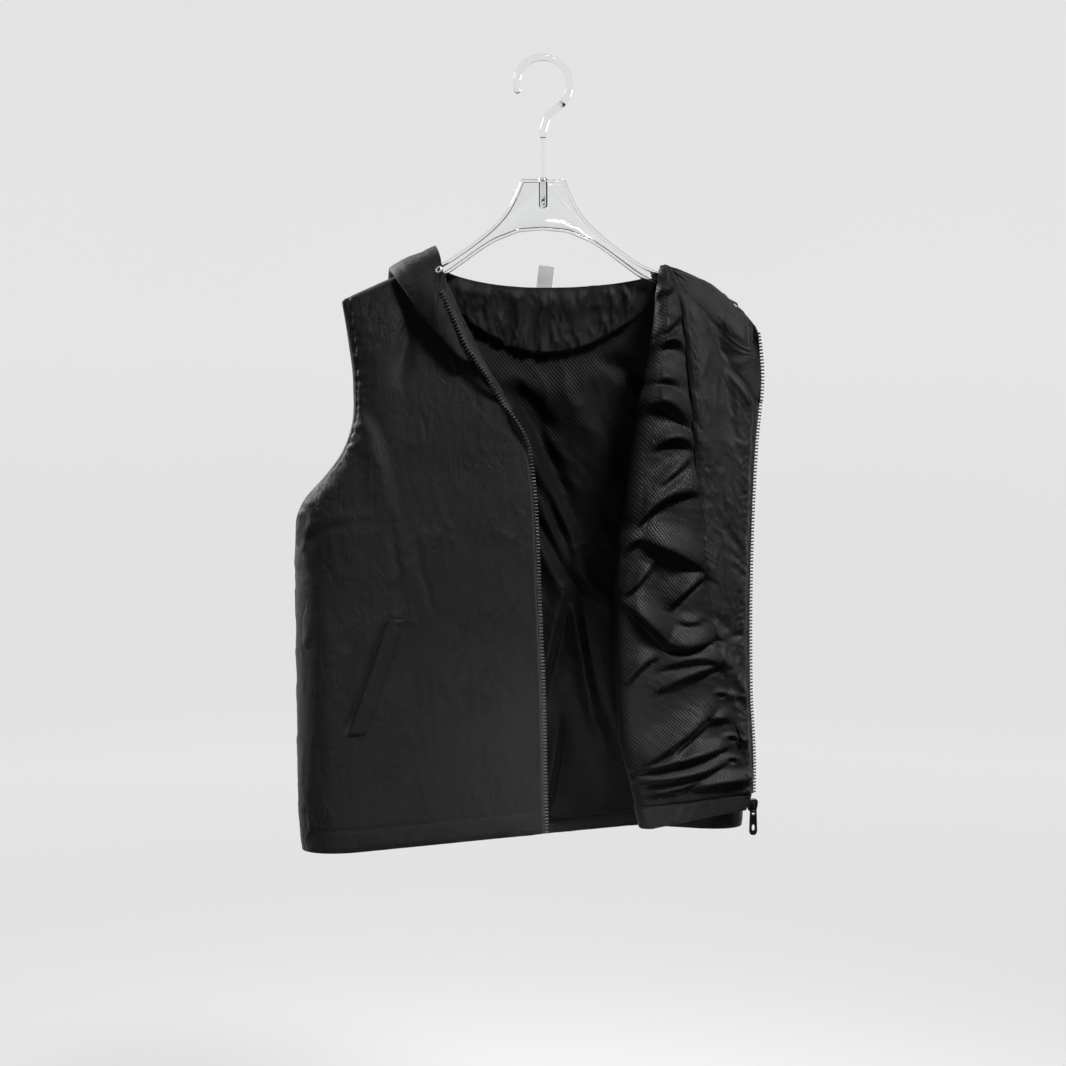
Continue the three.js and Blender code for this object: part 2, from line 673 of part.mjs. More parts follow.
// A small strip of cloth laid on a panel between two points of its sheet
function welt(name, place, outward) {
  const slope = (WELT_TOP.across - WELT_FOOT.across) / (WELT_TOP.up - WELT_FOOT.up);
  const wideShare = WELT_WIDE / 245;
  const grid = [0, 1].map((side) =>
    steps([WELT_FOOT.up, WELT_TOP.up], [5]).map((up) => {
      const across = WELT_FOOT.across + slope * (up - WELT_FOOT.up) + wideShare * side;
      return place(across, up - 0.004 * side);
    })
  );
  const strip = fromGrid(grid, outward);
  return wall(name, strip, { inner: SHELL + 1.0, outer: SHELL + 1.0 + SHELL });
}

// Hanger body: a web with a raised rim round its edge, and a socket for the stem
function hangerOutline() {
  const upper = HANGER_EDGE.map((row) => [row.x, row.top]);
  const lower = HANGER_EDGE.map((row) => [row.x, row.foot]).reverse();
  const right = [...upper, ...lower];
  const left = right.slice(1, -1).reverse().map(([x, z]) => [-x, z]);
  return [...right, ...left];
}

// The same outline moved in by the width of the rim
function movedIn(outline, inset) {
  const n = outline.length;
  return outline.map(([x, z], k) => {
    const [ax, az] = outline[(k + n - 1) % n];
    const [bx, bz] = outline[(k + 1) % n];
    const before = new THREE.Vector2(z - az, ax - x).normalize();
    const after = new THREE.Vector2(bz - z, x - bx).normalize();
    const mid = before.clone().add(after).normalize();
    const reach = inset / Math.max(0.5, mid.dot(after));
    return [x + mid.x * reach, z + mid.y * reach];
  });
}

function hangerBody() {
  const frame = solid(plate(hangerOutline(), HANGER_HALF));
  const hollow = plate(movedIn(hangerOutline(), RIM_WIDE), HANGER_HALF);
  const recess = HANGER_HALF + WEB_HALF;
  const front = solid(hollow.clone().translate(0, -recess, 0));
  const rear = solid(hollow.clone().translate(0, recess, 0));
  const bore = new THREE.CylinderGeometry(SOCKET, SOCKET, 20, 12);
  bore.rotateX(Math.PI / 2);
  bore.translate(0, 0, HANGER_EDGE[0].top - 8);
  const boss = new THREE.CylinderGeometry(HANGER_HALF + 1.5, HANGER_HALF + 1.5, 30, 12);
  boss.rotateX(Math.PI / 2);
  boss.translate(0, 0, HANGER_EDGE[0].top - 0.5 - 15);
  return frame.subtract(front).subtract(rear).add(solid(boss)).subtract(solid(bore));
}

// Hook: an open ring, a collar and a thin stem down into the hanger
function hangerHook() {
  const centre = vec(0, 0, HOOK_THICK - HOOK_RING);
  const path = [];
  const radii = [];
  const turns = 18;
  for (let k = 0; k <= turns; k += 1) {
    const turn = rad(lerp(195, -62, k / turns));
    path.push(centre.clone().add(vec(HOOK_RING * Math.cos(turn), 0, HOOK_RING * Math.sin(turn))));
    radii.push(HOOK_THICK * (k === 0 ? 0.7 : 1));
  }
  const down = [
    { x: 6, z: -58, r: 4 },
    { x: 2, z: -68, r: 3.8 },
    { x: 0, z: -75, r: 3.6 },
    { x: 0, z: -82, r: 3.4 },
    { x: 0, z: -84, r: STEM_THICK },
    { x: 0, z: -110, r: STEM_THICK },
    { x: 0, z: STEM_FOOT, r: STEM_THICK },
  ];
  for (const row of down) {
    path.push(vec(row.x, 0, row.z));
    radii.push(row.r);
  }
  return bar("hanger_hook", path, radii, 8);
}

// Slider and pull at the foot of the left zip
function zipFittings() {
  const foot = leftSheet.P[leftSheet.nu - 1][0];
  const at = vec(foot.x + 9.2, foot.y + SHELL / 2, foot.z + 5);
  const body = plate([[-5, 6], [-3.6, -7], [3.6, -7], [5, 6]], 3.6).translate(at.x, at.y, at.z);
  const bridge = plate([[-1.6, 4], [-1.6, -5], [1.6, -5], [1.6, 4]], 1.6);
  bridge.translate(at.x, at.y - 5, at.z);
  const slider = solid(body).add(solid(bridge));
  const tab = plate([[-3.5, 0], [3.5, 0], [4.2, -24], [2.6, -27], [-2.6, -27], [-4.2, -24]], 0.8);
  const hole = new THREE.CylinderGeometry(2, 2, 4, 12).scale(1, 1, 2).translate(0, 0, -19);
  for (const shape of [tab, hole]) shape.translate(at.x, at.y - 5, at.z - 5.4);
  const pull = solid(tab).subtract(solid(hole));
  return [meshOfSolid("zip_slider", slider), meshOfSolid("zip_pull", pull)];
}

function eyelet(name, along) {
  const k = seam.findIndex((_, n) => alongOf(n) >= along);
  const j = hoodSteps.length - 2;
  const p = hoodSheet.P[k][j].clone().lerp(hoodSheet.P[k][j + 1], 0.45);
  const face = hoodSheet.N[k][j].clone().add(hoodSheet.N[k][j + 1]).normalize();
  const section = [[2.2, 0], [4.6, 0], [4.6, 0.8], [3.6, 1.6], [2.2, 1.2], [2.2, 0]];
  const ring = new THREE.LatheGeometry(section.map(([x, y]) => new THREE.Vector2(x, y)), 10);
  const turn = new THREE.Quaternion().setFromUnitVectors(vec(0, 1, 0), face);
  ring.applyQuaternion(turn);
  const at = p.addScaledVector(face, SHELL + 2 * GAP);
  ring.translate(at.x, at.y, at.z);
  return meshOfSolid(name, solid(ring));
}

function neckLabel() {
  const column = (neckColumns[0] + neckColumns[1]) / 2;
  const p = backSheet.P[column][lastBackRow];
  const label = new THREE.BoxGeometry(17, 1, 30);
  label.rotateY(rad(7));
  label.translate(p.x + 5, p.y - LINER - 2 * GAP - 1.2, p.z + 12);
  return meshOfSolid("neck_label", solid(label));
}

const inside = -GAP;
const liner = { inner: inside - LINER, outer: inside };
const flapFold = (i, j) => (i < turnColumn ? 0 : foldHeight(leftSheet.P[i][j]));

const vest = new THREE.Group();
vest.name = "hooded_vest";
vest.add(meshOfSolid("hanger_body", hangerBody()));
vest.add(hangerHook());
vest.add(wall("back_panel", backSheet, { inner: 0, outer: SHELL }));
vest.add(wall("right_front_panel", rightSheet, { inner: 0, outer: SHELL }));
vest.add(wall("left_front_panel", leftSheet, { inner: 0, outer: SHELL }));
vest.add(wall("back_neck_facing", backSheet, {
  ...liner, i0: neckColumns[0] + 1, i1: neckColumns[1] - 1, j0: facingRow, trim: { foot: 0.5, top: 0.5 },
}));
vest.add(wall("back_lining", backSheet, {
  ...liner, i0: 2, i1: backSheet.nu - 3, j0: 1, j1: facingRow, trim: { foot: 0.5, top: 0.5 },
}));
vest.add(wall("back_hem_turn", backSheet, {
  ...liner, i0: 2, i1: backSheet.nu - 3, j0: 0, j1: 1, trim: { foot: 1, top: 0.5 },
}));
vest.add(wall("left_front_lining", leftSheet, {
  inner: (i, j) => liner.inner - flapFold(i, j),
  outer: (i, j) => liner.outer - flapFold(i, j),
  i0: foldColumn + 1, i1: facingColumn, j0: 1, trim: { end: 0.5, foot: 0.5, top: 1.4 },
}));
vest.add(wall("left_front_facing", leftSheet, {
  inner: (i, j) => liner.inner - flapFold(i, j),
  outer: (i, j) => liner.outer - flapFold(i, j),
  i0: facingColumn, j0: 1, trim: { start: 0.8, end: 1, foot: 0.5, top: 0.9 },
}));
vest.add(wall("left_front_hem_turn", leftSheet, {
  ...liner, i0: foldColumn + 1, j0: 0, j1: 1, trim: { end: 1, foot: 1, top: 0.5 },
}));
vest.add(wall("hood", hoodSheet, { inner: 0, outer: SHELL }));
vest.add(zipStrip("right_zip", rightZipEdges));
vest.add(zipStrip("left_zip", leftZipEdges));
zipFittings().forEach((mesh) => vest.add(mesh));
vest.add(welt("right_pocket_welt", rightFront, 1));
vest.add(eyelet("hood_eyelet_right", 0.14));
vest.add(eyelet("hood_eyelet_left", 0.8));
vest.add(neckLabel());

export default vest;
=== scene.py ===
# Hooded nylon vest with a mesh lining, hanging open on a clear plastic hanger.
# Lengths are millimetres until a mesh is made. +Z is up, the front faces -Y,
# and left and right are the wearer's.
import math

import bpy
import numpy as np
from mathutils import Matrix, Vector


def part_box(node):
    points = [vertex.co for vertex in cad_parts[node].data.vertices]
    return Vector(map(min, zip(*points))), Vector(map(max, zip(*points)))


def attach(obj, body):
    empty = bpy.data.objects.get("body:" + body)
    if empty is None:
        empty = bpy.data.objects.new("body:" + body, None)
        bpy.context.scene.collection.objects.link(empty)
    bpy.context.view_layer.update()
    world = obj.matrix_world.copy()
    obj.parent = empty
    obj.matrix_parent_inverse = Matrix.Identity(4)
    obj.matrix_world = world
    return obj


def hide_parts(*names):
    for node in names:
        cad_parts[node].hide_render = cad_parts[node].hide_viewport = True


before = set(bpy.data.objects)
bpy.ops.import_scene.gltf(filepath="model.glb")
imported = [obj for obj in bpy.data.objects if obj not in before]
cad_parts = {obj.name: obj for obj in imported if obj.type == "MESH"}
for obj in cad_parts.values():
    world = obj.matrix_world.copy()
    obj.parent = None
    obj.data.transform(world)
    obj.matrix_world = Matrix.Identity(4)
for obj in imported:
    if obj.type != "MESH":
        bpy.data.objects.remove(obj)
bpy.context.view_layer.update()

MM = 0.001

# Cloth walls, how far in each inner layer lies, and the stitches along edges
SHELL = 1.2
LINER = 1.0
FACING = 0.8
GAP = 0.4
SEAM_GAP = 0.8
LINING_IN = GAP + 0.5
FACING_IN = LINING_IN + LINER + 0.3
FLAP_IN = GAP + 0.1
SEAM_RISE = 2.4 * SHELL
EDGE_STITCH = 7.0
STITCH_CLEAR = 0.05

# Main sizes of the vest, as in the solids
RIGHT_NECK = 120.0
LEFT_NECK = 135.0
NECK_TOP = -216.0
SHOULDER_TIP = 217.0
SHOULDER_SLOPE = 0.4536
RIGHT_HEM = -855.0
LEFT_HEM = -842.0
FOLD_HEM = -832.0
FLAP_HEM = -818.0
ZIP_FOOT = -838.0
NECK_POINT = -366.0
ARMPIT = -509.0
BACK_NECK_DROP = 30.0
HEM_TURN = 24.0
BACK_HEM_TURN = 13.0
SIDE_ROUND = 58.0

# Shares of a panel's width where its shape changes
ROUND_PART = 0.28
BACK_ROUND = 0.76
LEFT_ROUND = 0.18
LEFT_FOLD = 0.36
LEFT_TURNED = 0.46
LINING_PART = 0.6
FACING_START = LEFT_TURNED + LINING_PART * (1 - LEFT_TURNED)


def table(columns, rows):
    """A short table as one array for each named column."""
    values = np.array(rows, float)
    return {name: values[:, k] for k, name in enumerate(columns.split())}


# Outer edge of each panel by height: side seam, armhole, shoulder tip
SIDE = table("z half front back_half back pull", [
    (-874, 263, -0.15, 263, -0.15, 40),
    (-784, 268, -0.15, 268, -0.15, 42),
    (-694, 268, -0.15, 268, -0.15, 42),
    (-594, 268, -0.15, 268, -0.15, 40),
    (-509, 268, -0.15, 268, -0.15, 38),
    (-492, 267, 5, 264, 4, 37),
    (-472, 258, 12, 251, 9, 34),
    (-448, 237, 18, 228, 13, 28),
    (-421, 218, 20, 208, 15, 21),
    (-388, 207, 19, 197, 15, 14),
    (-349, 206, 15, 197, 12, 9),
    (-300, 211, 8, 205, 6, 4),
    (-260, 217, -0.15, 217, -0.15, 0),
])

# Depth of the front and back by the drop below the shoulder line
DEPTH = table("drop front back", [
    (0, -0.15, -0.15),
    (2, 5.2, 5.2),
    (8, 8, 8),
    (20, 11, 10),
    (45, 18, 14),
    (80, 27, 21),
    (130, 36, 27),
    (190, 43, 31),
    (300, 47, 35),
    (450, 45, 37),
    (700, 40, 38),
])

# Front edge of the right panel: zip edge, then neckline
RIGHT_EDGE = table("z x", [
    (-838, -7),
    (-754, -9),
    (-674, -11),
    (-594, -15),
    (-514, -18),
    (-464, -21),
    (-414, -29),
    (-366, -46),
    (-334, -66),
    (-304, -82),
    (-274, -97),
    (-244, -110),
    (-216, -120),
])

# Line where the left front turns back on itself, and its roll
FOLD_LINE = table("z x roll", [
    (-832, 102, 10),
    (-784, 90, 11),
    (-732, 78, 12),
    (-657, 72, 12),
    (-583, 71, 12),
    (-539, 74, 12),
    (-495, 80, 12),
    (-433, 88, 11),
    (-381, 98, 10),
    (-333, 108, 9),
    (-294, 116, 8),
    (-222, 128, 7),
])

# Zip edge of the folded-back front, and the width of the facing beside it
LEFT_EDGE = table("z x y facing", [
    (-818, 219, -42, 12),
    (-796, 225, -45, 12),
    (-744, 223, -48, 14),
    (-694, 219, -51, 24),
    (-594, 217, -53, 51),
    (-494, 219, -52, 63),
    (-414, 223, -50, 75),
    (-366, 228, -47, 84),
])

# Hem of the back: how far it drops at each part of the width
BACK_HEM = table("across z", [
    (-1, -855),
    (-0.7, -859),
    (-0.35, -861),
    (0, -857),
    (0.4, -851),
    (0.75, -847),
    (1, -842),
])

# Hood ribs from the right zip round the neck to the left zip: the way each roll leans
# in degrees, its size, and the rib's low point and hem
HOOD = table("along out roll low_x low_y low_z hem_x hem_y hem_z", [
    (0, 262, 2.5, -84, -51, -308, -110, -44, -250),
    (0.06, 256, 5, -88, -52, -324, -112, -38, -240),
    (0.12, 250, 7, -120, -47, -294, -112, -32, -228),
    (0.25, 180, 5, -165, -1, -226, -116, 0, -203),
    (0.3, 140, 8, -165, 38, -256, -115, 32, -206),
    (0.37, 110, 4, -134, 60, -374, -110, 62, -222),
    (0.5, 90, 4, 4, 66, -472, 6, 92, -268),
    (0.63, 70, 4, 142, 60, -374, 160, 64, -250),
    (0.7, 45, 7, 180, 30, -258, 197, 34, -251),
    (0.75, 0, 3.5, 178, 2, -232, 209, 6, -252),
    (0.88, -60, 1, 205, -36, -284, 222, -24, -272),
    (1, -80, 0.6, 230, -48, -328, 228, -42, -290),
])
HOOD_HEM = 0.93

# Each row of the fold tables is a line by its two ends and a point halfway, then the
# width and height of the fold. A height below zero is a hollow.
FOLD_COLUMNS = "x0 z0 x1 z1 x2 z2 wide high"

# Folds of the turned-back lining; each line is the dark one under a roll of cloth
FLAP_FOLDS = table(FOLD_COLUMNS, [
    (72, -560, 82, -528, 96, -516, 14, 8),
    (94, -517, 124, -530, 160, -549, 18, 10),
    (75, -581, 94, -563, 109, -544, 9, 6),
    (129, -589, 145, -572, 165, -558, 12, 7),
    (77, -585, 102, -609, 123, -629, 16, 9),
    (120, -628, 146, -633, 174, -625, 18, 10),
    (134, -606, 149, -609, 163, -606, 8, 4),
    (123, -655, 156, -648, 185, -655, 11, 7),
    (117, -680, 152, -664, 185, -656, 11, 7),
    (81, -678, 94, -656, 112, -645, 11, 6),
    (92, -764, 134, -737, 177, -704, 16, 10),
    (126, -759, 150, -735, 173, -718, 9, 7),
    (169, -717, 180, -714, 192, -716, 8, 5),
    (89, -769, 141, -757, 190, -747, 9, 9),
    (91, -780, 144, -775, 188, -765, 8, 8),
    (157, -791, 191, -785, 231, -786, 8, 6),
    (104, -796, 142, -789, 164, -781, 8, 4),
    (98, -386, 117, -374, 143, -392, 16, 10),
    (114, -418, 131, -412, 147, -418, 11, 7),
    (109, -466, 128, -451, 146, -436, 10, 6),
    (93, -501, 119, -475, 152, -468, 16, 9),
    (107, -353, 121, -349, 137, -354, 12, 5),
    (119, -305, 131, -293, 142, -283, 9, 7),
    (117, -316, 129, -308, 141, -313, 9, 6),
    (115, -268, 126, -257, 136, -250, 9, 5),
])

# Small puckers of the lining where it meets the facing
PUCKERS = table("x z size", [
    (186, -687, 7),
    (198, -736, 8),
    (199, -760, 7),
])

# Folds of the back lining seen through the open front
BACK_FOLDS = table(FOLD_COLUMNS, [
    (-30, -352, -10, -372, 14, -402, 10, -9),
    (-24, -366, 4, -414, 54, -530, 9, -7),
    (-40, -374, -10, -430, 44, -540, 10, 7),
    (4, -464, 20, -502, 38, -546, 6, -5),
    (-6, -470, 10, -508, 28, -552, 7, 5),
    (72, -322, 100, -332, 116, -348, 12, -9),
    (24, -356, 60, -408, 86, -480, 16, 5),
    (-14, -500, 8, -544, 26, -582, 9, 7),
    (-4, -494, 18, -538, 36, -576, 7, -5),
    (24, -576, 12, -640, -2, -700, 9, 8),
    (34, -580, 22, -642, 8, -702, 8, -6),
    (30, -576, 44, -634, 64, -740, 9, 8),
    (42, -572, 56, -634, 76, -740, 8, -6),
    (36, -532, 56, -572, 88, -590, 8, 7),
    (22, -722, 14, -778, 4, -826, 8, 8),
    (32, -722, 24, -778, 14, -826, 7, -5),
    (56, -604, 68, -680, 74, -780, 8, 5),
    (-120, -420, -98, -540, -100, -700, 26, 6),
    (150, -430, 140, -560, 150, -720, 26, 6),
])

# Creases on the right front
RIGHT_FOLDS = table(FOLD_COLUMNS, [
    (-145, -268, -151, -305, -162, -345, 10, -4.5),
    (-206, -372, -184, -424, -170, -500, 11, 2.6),
    (-196, -372, -174, -424, -160, -500, 7, -1.6),
    (-172, -490, -165, -534, -160, -582, 4, -1.6),
    (-142, -524, -134, -562, -121, -600, 4, -1.5),
    (-64, -598, -90, -640, -108, -684, 5, -0.8),
    (-82, -590, -88, -616, -104, -640, 4, -0.8),
    (-206, -602, -218, -660, -230, -704, 5, -1.5),
    (-252, -560, -240, -640, -246, -730, 14, 2.2),
    (-40, -640, -46, -720, -40, -800, 12, 1.2),
    (-256, -506, -236, -494, -214, -488, 6, 1.2),
    (-258, -516, -238, -504, -216, -498, 5, -1.4),
])

# Creases of the nylon facing beside the left zip
FACING_FOLDS = table(FOLD_COLUMNS, [
    (157, -259, 161, -345, 165, -442, 15, 6),
    (204, -264, 208, -301, 218, -366, 12, 5),
    (186, -272, 190, -335, 196, -405, 9, -3),
    (179, -494, 196, -518, 210, -539, 5, -2.2),
    (190, -529, 203, -539, 215, -552, 4, -1.8),
    (194, -546, 205, -553, 213, -564, 4, -1.6),
    (171, -596, 182, -605, 194, -616, 5, -2.2),
    (191, -624, 204, -621, 217, -622, 4, -1.8),
    (204, -507, 212, -516, 217, -527, 4, -1.6),
    (183, -649, 201, -667, 214, -694, 6, 2.6),
    (198, -655, 208, -676, 217, -707, 5, 2.2),
    (200, -712, 210, -732, 216, -752, 5, 2.4),
])

# Soft folds of the back, which hangs in long shallow waves
BACK_WAVES = table(FOLD_COLUMNS, [
    (-150, -470, -158, -620, -170, -840, 30, 5),
    (-60, -500, -52, -650, -44, -850, 34, 4),
    (50, -500, 56, -660, 64, -846, 32, 5),
    (130, -470, 140, -620, 150, -836, 28, 4),
    (-196, -440, -206, -520, -214, -640, 14, 3),
    (172, -440, 184, -520, 194, -640, 14, 3),
])

# Pocket welt on the right front: its ends as shares of the panel's width and height
WELT_TOP = (0.42, 0.412)
WELT_FOOT = (0.262, 0.215)
WELT_SLOPE = (WELT_TOP[0] - WELT_FOOT[0]) / (WELT_TOP[1] - WELT_FOOT[1])
WELT_WIDE = 15.0
POCKET_SPAN = 245.0
WELT_CORNERS = [(-0.28, 1.03), (1.3, 1.03), (1.3, -0.03), (-0.28, -0.03)]

# Zip: its reach past the cloth's edge, how it turns back on the lapel, and its teeth
ZIP_END_ON_RIB = 0.95
ZIP_REACH = 6.5
ZIP_LAPEL_REACH = 9.0
ZIP_LAPEL_LIFT = 2.6
LAPEL_FACE = (-0.2, -0.93, 0.3)
ZIP_TWIST = 168.0
TAPE_HALF = 0.4
TAPE_STEP = 3.0
TAPE_UNDER = (5.0, 1.5)
TAPE_SHARES = (0.12, 0.5, 0.8, 1.0)
TOOTH_GRIP = 0.75
TOOTH_WIDE = 4.0
TOOTH_PITCH = 3.6
TOOTH_HALF_LONG = 1.15
TOOTH_HALF_HIGH = 1.55
TOOTH_SIDES = 8
TOOTH = table("reach long high", [
    (-0.6, 0.8, 0.7),
    (0.5, 1.0, 1.0),
    (1.6, 0.95, 1.0),
    (2.5, 0.6, 0.85),
    (3.6, 0.95, 0.9),
    (4.1, 0.55, 0.55),
])

# Slider and pull: outlines in x and z, and the bridge in y and z
SLIDER_PLATE = [(-5, 6), (-5.2, 2), (-3.6, -7), (3.6, -7), (5.2, 2), (5, 6)]
SLIDER_POST = [(-1.8, 6), (1.8, 6), (0.8, 1), (-0.8, 1)]
SLIDER_BRIDGE = [
    (-3.2, 4.6), (-5.2, 4.2), (-6.3, 2.4), (-6.4, -0.5), (-6.1, -3.2), (-4.6, -4.9), (-3.2, -5.2),
]
PLATE_HALF = 0.9
PLATE_RIM = 0.5
PLATE_OFF = 2.7
PULL_TAB = [(-3.4, 0), (3.4, 0), (4.2, -23.5), (2.6, -27), (-2.6, -27), (-4.2, -23.5)]
PULL_SLOT = [(-1.9, -2.2), (1.9, -2.2), (1.9, -4.6), (-1.9, -4.6)]
PULL_HOLE_Z = -19.0
PULL_HOLE_HALF = (2.0, 3.8)

# Eyelets: radius and height round the section
EYELET = [
    (2.1, -1.4), (2.4, -1.7), (3.6, -1.6), (4.4, -1.2), (4.6, -0.3),
    (4.4, 0.5), (3.7, 1.0), (2.8, 0.9), (2.2, 0.4), (2.05, -0.5),
]
EYELET_LIFT = 1.4

LABEL_HALF_WIDE = 8.5
LABEL_HALF_LONG = 15.0
LABEL_LEAN = math.radians(7)

# Hanger
HOOK_RING = 29.0
HOOK_TURN = (195, -62)
HOOK_THICK = 4.0
HANGER_HALF = 3.5
WEB_HALF = 1.6
RIM_WIDE = 3.5
RIM_ROUND = 0.9
HANGER_EDGE = table("x top foot", [
    (0, -127, -182),
    (24, -127, -184),
    (31, -144, -186),
    (41, -162, -190),
    (53, -176, -195),
    (69, -190, -205),
    (87, -203.5, -218),
    (106, -216, -231),
    (124, -224, -239),
    (165, -238.8, -255),
    (194, -252.4, -268),
    (204, -259, -267),
])
HOOK_DOWN = table("x z r", [
    (6, -58, 4),
    (2, -68, 3.8),
    (0, -75, 3.6),
    (0, -82, 3.4),
    (0, -84, 2.4),
    (0, -110, 2.4),
    (0, -144, 2.4),
])
BOSS = [(2.9, 2), (3.6, 2.4), (4.8, 1.4), (5.0, 0), (5.0, -27), (4.4, -29.5), (3.2, -30), (2.9, -30)]
BOSS_TOP = -127.5

# Repeats of the mesh's holes and of the nylon's weave, in metres
MESH_PITCH = 0.004
WEAVE_PITCH = 0.0008

# Camera and studio, in degrees and metres
CAMERA_AZIMUTH = -8.0
CAMERA_HEIGHT = 4.0
CAMERA_AWAY = 2.1
CAMERA_TARGET = (-0.011, 0.0, -0.512)
VIEW_WIDE = 1.1726
FLOOR_Z = -1.35
BOWL_WIDE = 4.5
BOWL_BEND = 1.2
BOWL_TOP = 6.5
REAR_HALF = 70


# Number helpers

def mix(a, b, t):
    return a + (b - a) * t


def clamp(t):
    return np.clip(t, 0.0, 1.0)


def ramp(t, low, high):
    """Smooth step from 0 at low to 1 at high."""
    s = clamp((t - low) / (high - low))
    return s * s * (3 - 2 * s)


def near(distance, wide):
    """1 on a line, falling off smoothly over a width."""
    return np.exp(-(distance / wide) ** 2)


def unit(v):
    return v / np.maximum(np.linalg.norm(v, axis=-1, keepdims=True), 1e-9)


def steps(stations, counts):
    """Evenly spaced steps between named stations."""
    parts = [np.array([stations[0]], float)]
    for k, count in enumerate(counts):
        parts.append(np.linspace(stations[k], stations[k + 1], count + 1)[1:])
    return np.concatenate(parts)


def run_lengths(points, axis=0):
    """Length along a line of points, or along one way of a grid."""
    run = np.cumsum(np.linalg.norm(np.diff(points, axis=axis), axis=-1), axis=axis)
    return np.pad(run, [(1, 0) if k == axis else (0, 0) for k in range(run.ndim)])


def read_off(marks, run, values):
    """Rows of values at marks along a run."""
    return np.stack([np.interp(marks, run, values[:, k]) for k in range(values.shape[1])], -1)


def through(rows, by, column):
    """A smooth curve through one column of a table, held at its end rows."""
    at, value = rows[by], rows[column]
    n = len(at)
    low = np.maximum(np.arange(n) - 1, 0)
    high = np.minimum(np.arange(n) + 1, n - 1)
    slope = (value[high] - value[low]) / (at[high] - at[low])
    turns = (value[high] - value) * (value - value[low]) <= 0
    turns[0] = turns[-1] = False
    slope[turns] = 0

    def curve(x):
        x = np.clip(np.asarray(x, float), at[0], at[-1])
        k = np.clip(np.searchsorted(at, x) - 1, 0, n - 2)
        w = at[k + 1] - at[k]
        t = (x - at[k]) / w
        rise = value[k + 1] - value[k]
        a = slope[k] * w - rise
        b = rise - slope[k + 1] * w
        return value[k] + rise * t + t * (1 - t) * (a * (1 - t) + b * t)

    return curve


def smooth_through(values, marks):
    """A smooth curve through rows of values at their indices."""
    n = len(values)
    k = np.clip(np.floor(marks).astype(int), 0, n - 2)
    t = (marks - k)[:, None]
    p0, p1, p2, p3 = (values[np.clip(k + s, 0, n - 1)] for s in (-1, 0, 1, 2))
    m1, m2 = (p2 - p0) / 2, (p3 - p1) / 2
    return ((2 * t ** 3 - 3 * t ** 2 + 1) * p1 + (t ** 3 - 2 * t ** 2 + t) * m1
            + (3 * t ** 2 - 2 * t ** 3) * p2 + (t ** 3 - t ** 2) * m2)


def lattice(ix, iy, seed):
    """A number from 0 to 1 for each whole place, the same in each run."""
    h = (ix * 374761393 + iy * 668265263 + seed * 974711) & 0xFFFFFFFF
    h = ((h ^ (h >> 13)) * 1274126177) & 0xFFFFFFFF
    return ((h ^ (h >> 16)) & 0xFFFFFFFF) / 4294967296.0


def noise(x, y, seed):
    """Smooth noise in about -1 to 1, the same in each run."""
    ix = np.floor(x).astype(np.int64)
    iy = np.floor(y).astype(np.int64)
    fx = x - ix
    fy = y - iy

    def corner(dx, dy):
        turn = lattice(ix + dx, iy + dy, seed) * 2 * np.pi
        return np.cos(turn) * (fx - dx) + np.sin(turn) * (fy - dy)

    sx = fx ** 3 * (fx * (fx * 6 - 15) + 10)
    sy = fy ** 3 * (fy * (fy * 6 - 15) + 10)
    low = mix(corner(0, 0), corner(1, 0), sx)
    high = mix(corner(0, 1), corner(1, 1), sx)
    return 1.5 * mix(low, high, sy)


def swell(x, y, seed):
    """Smooth noise in about 0 to 1."""
    return 0.5 + 0.5 * noise(x, y, seed)


def ridged(x, y, seed, sharp):
    """Creases along the lines where smooth noise crosses its middle."""
    return (1 - np.abs(noise(x, y, seed))) ** sharp


def crinkle(across, up, seed):
    """Creases of thin nylon, 0 to about 1, mostly running up and down."""
    bend = 7 * noise(across / 46, up / 70, seed)
    a = ridged((across + bend) / 17, (up + 2 * bend) / 46, seed + 1, 4)
    b = ridged((across + 0.4 * up) / 11, (up - 0.3 * across) / 26, seed + 2, 4)
    c = ridged((across - 0.3 * up) / 7, (up + 0.3 * across) / 13, seed + 3, 3)
    return 0.55 * a + 0.3 * b + 0.15 * c


# Folds from the tables

def bowed(a, b, c, t):
    """A curve from a to c that passes b halfway."""
    control = 2 * b - (a + c) / 2
    return (1 - t) ** 2 * a + 2 * t * (1 - t) * control + t ** 2 * c


def fold_lines(x, z, folds):
    """For each fold: its row, how far above its line each point is, and a taper."""
    ts = np.linspace(0, 1, 25)
    for k in range(len(folds["wide"])):
        row = {name: column[k] for name, column in folds.items()}
        px, pz = (bowed(row[c + "0"], row[c + "1"], row[c + "2"], ts) for c in "xz")
        dx, dz = x[..., None] - px, z[..., None] - pz
        close = np.argmin(dx * dx + dz * dz, axis=-1)
        ax, az = (np.take_along_axis(d, close[..., None], -1)[..., 0] for d in (dx, dz))
        way = unit(np.stack([np.gradient(px), np.gradient(pz)], -1))[close]
        wx, wz = way[..., 0], way[..., 1]
        above = (az * wx - ax * wz) * np.where(wx < 0, -1.0, 1.0)
        past = np.where((close == 0) | (close == len(ts) - 1), ax * wx + az * wz, 0.0)
        taper = np.clip(np.sin(np.pi * mix(0.05, 0.95, ts[close])), 0, 1) ** 0.6
        yield row, above, taper * near(past, 7)


def waves(x, z, folds):
    """Soft folds and hollows with even sides."""
    lines = fold_lines(x, z, folds)
    return sum(row["high"] * taper * near(above, row["wide"]) for row, above, taper in lines)


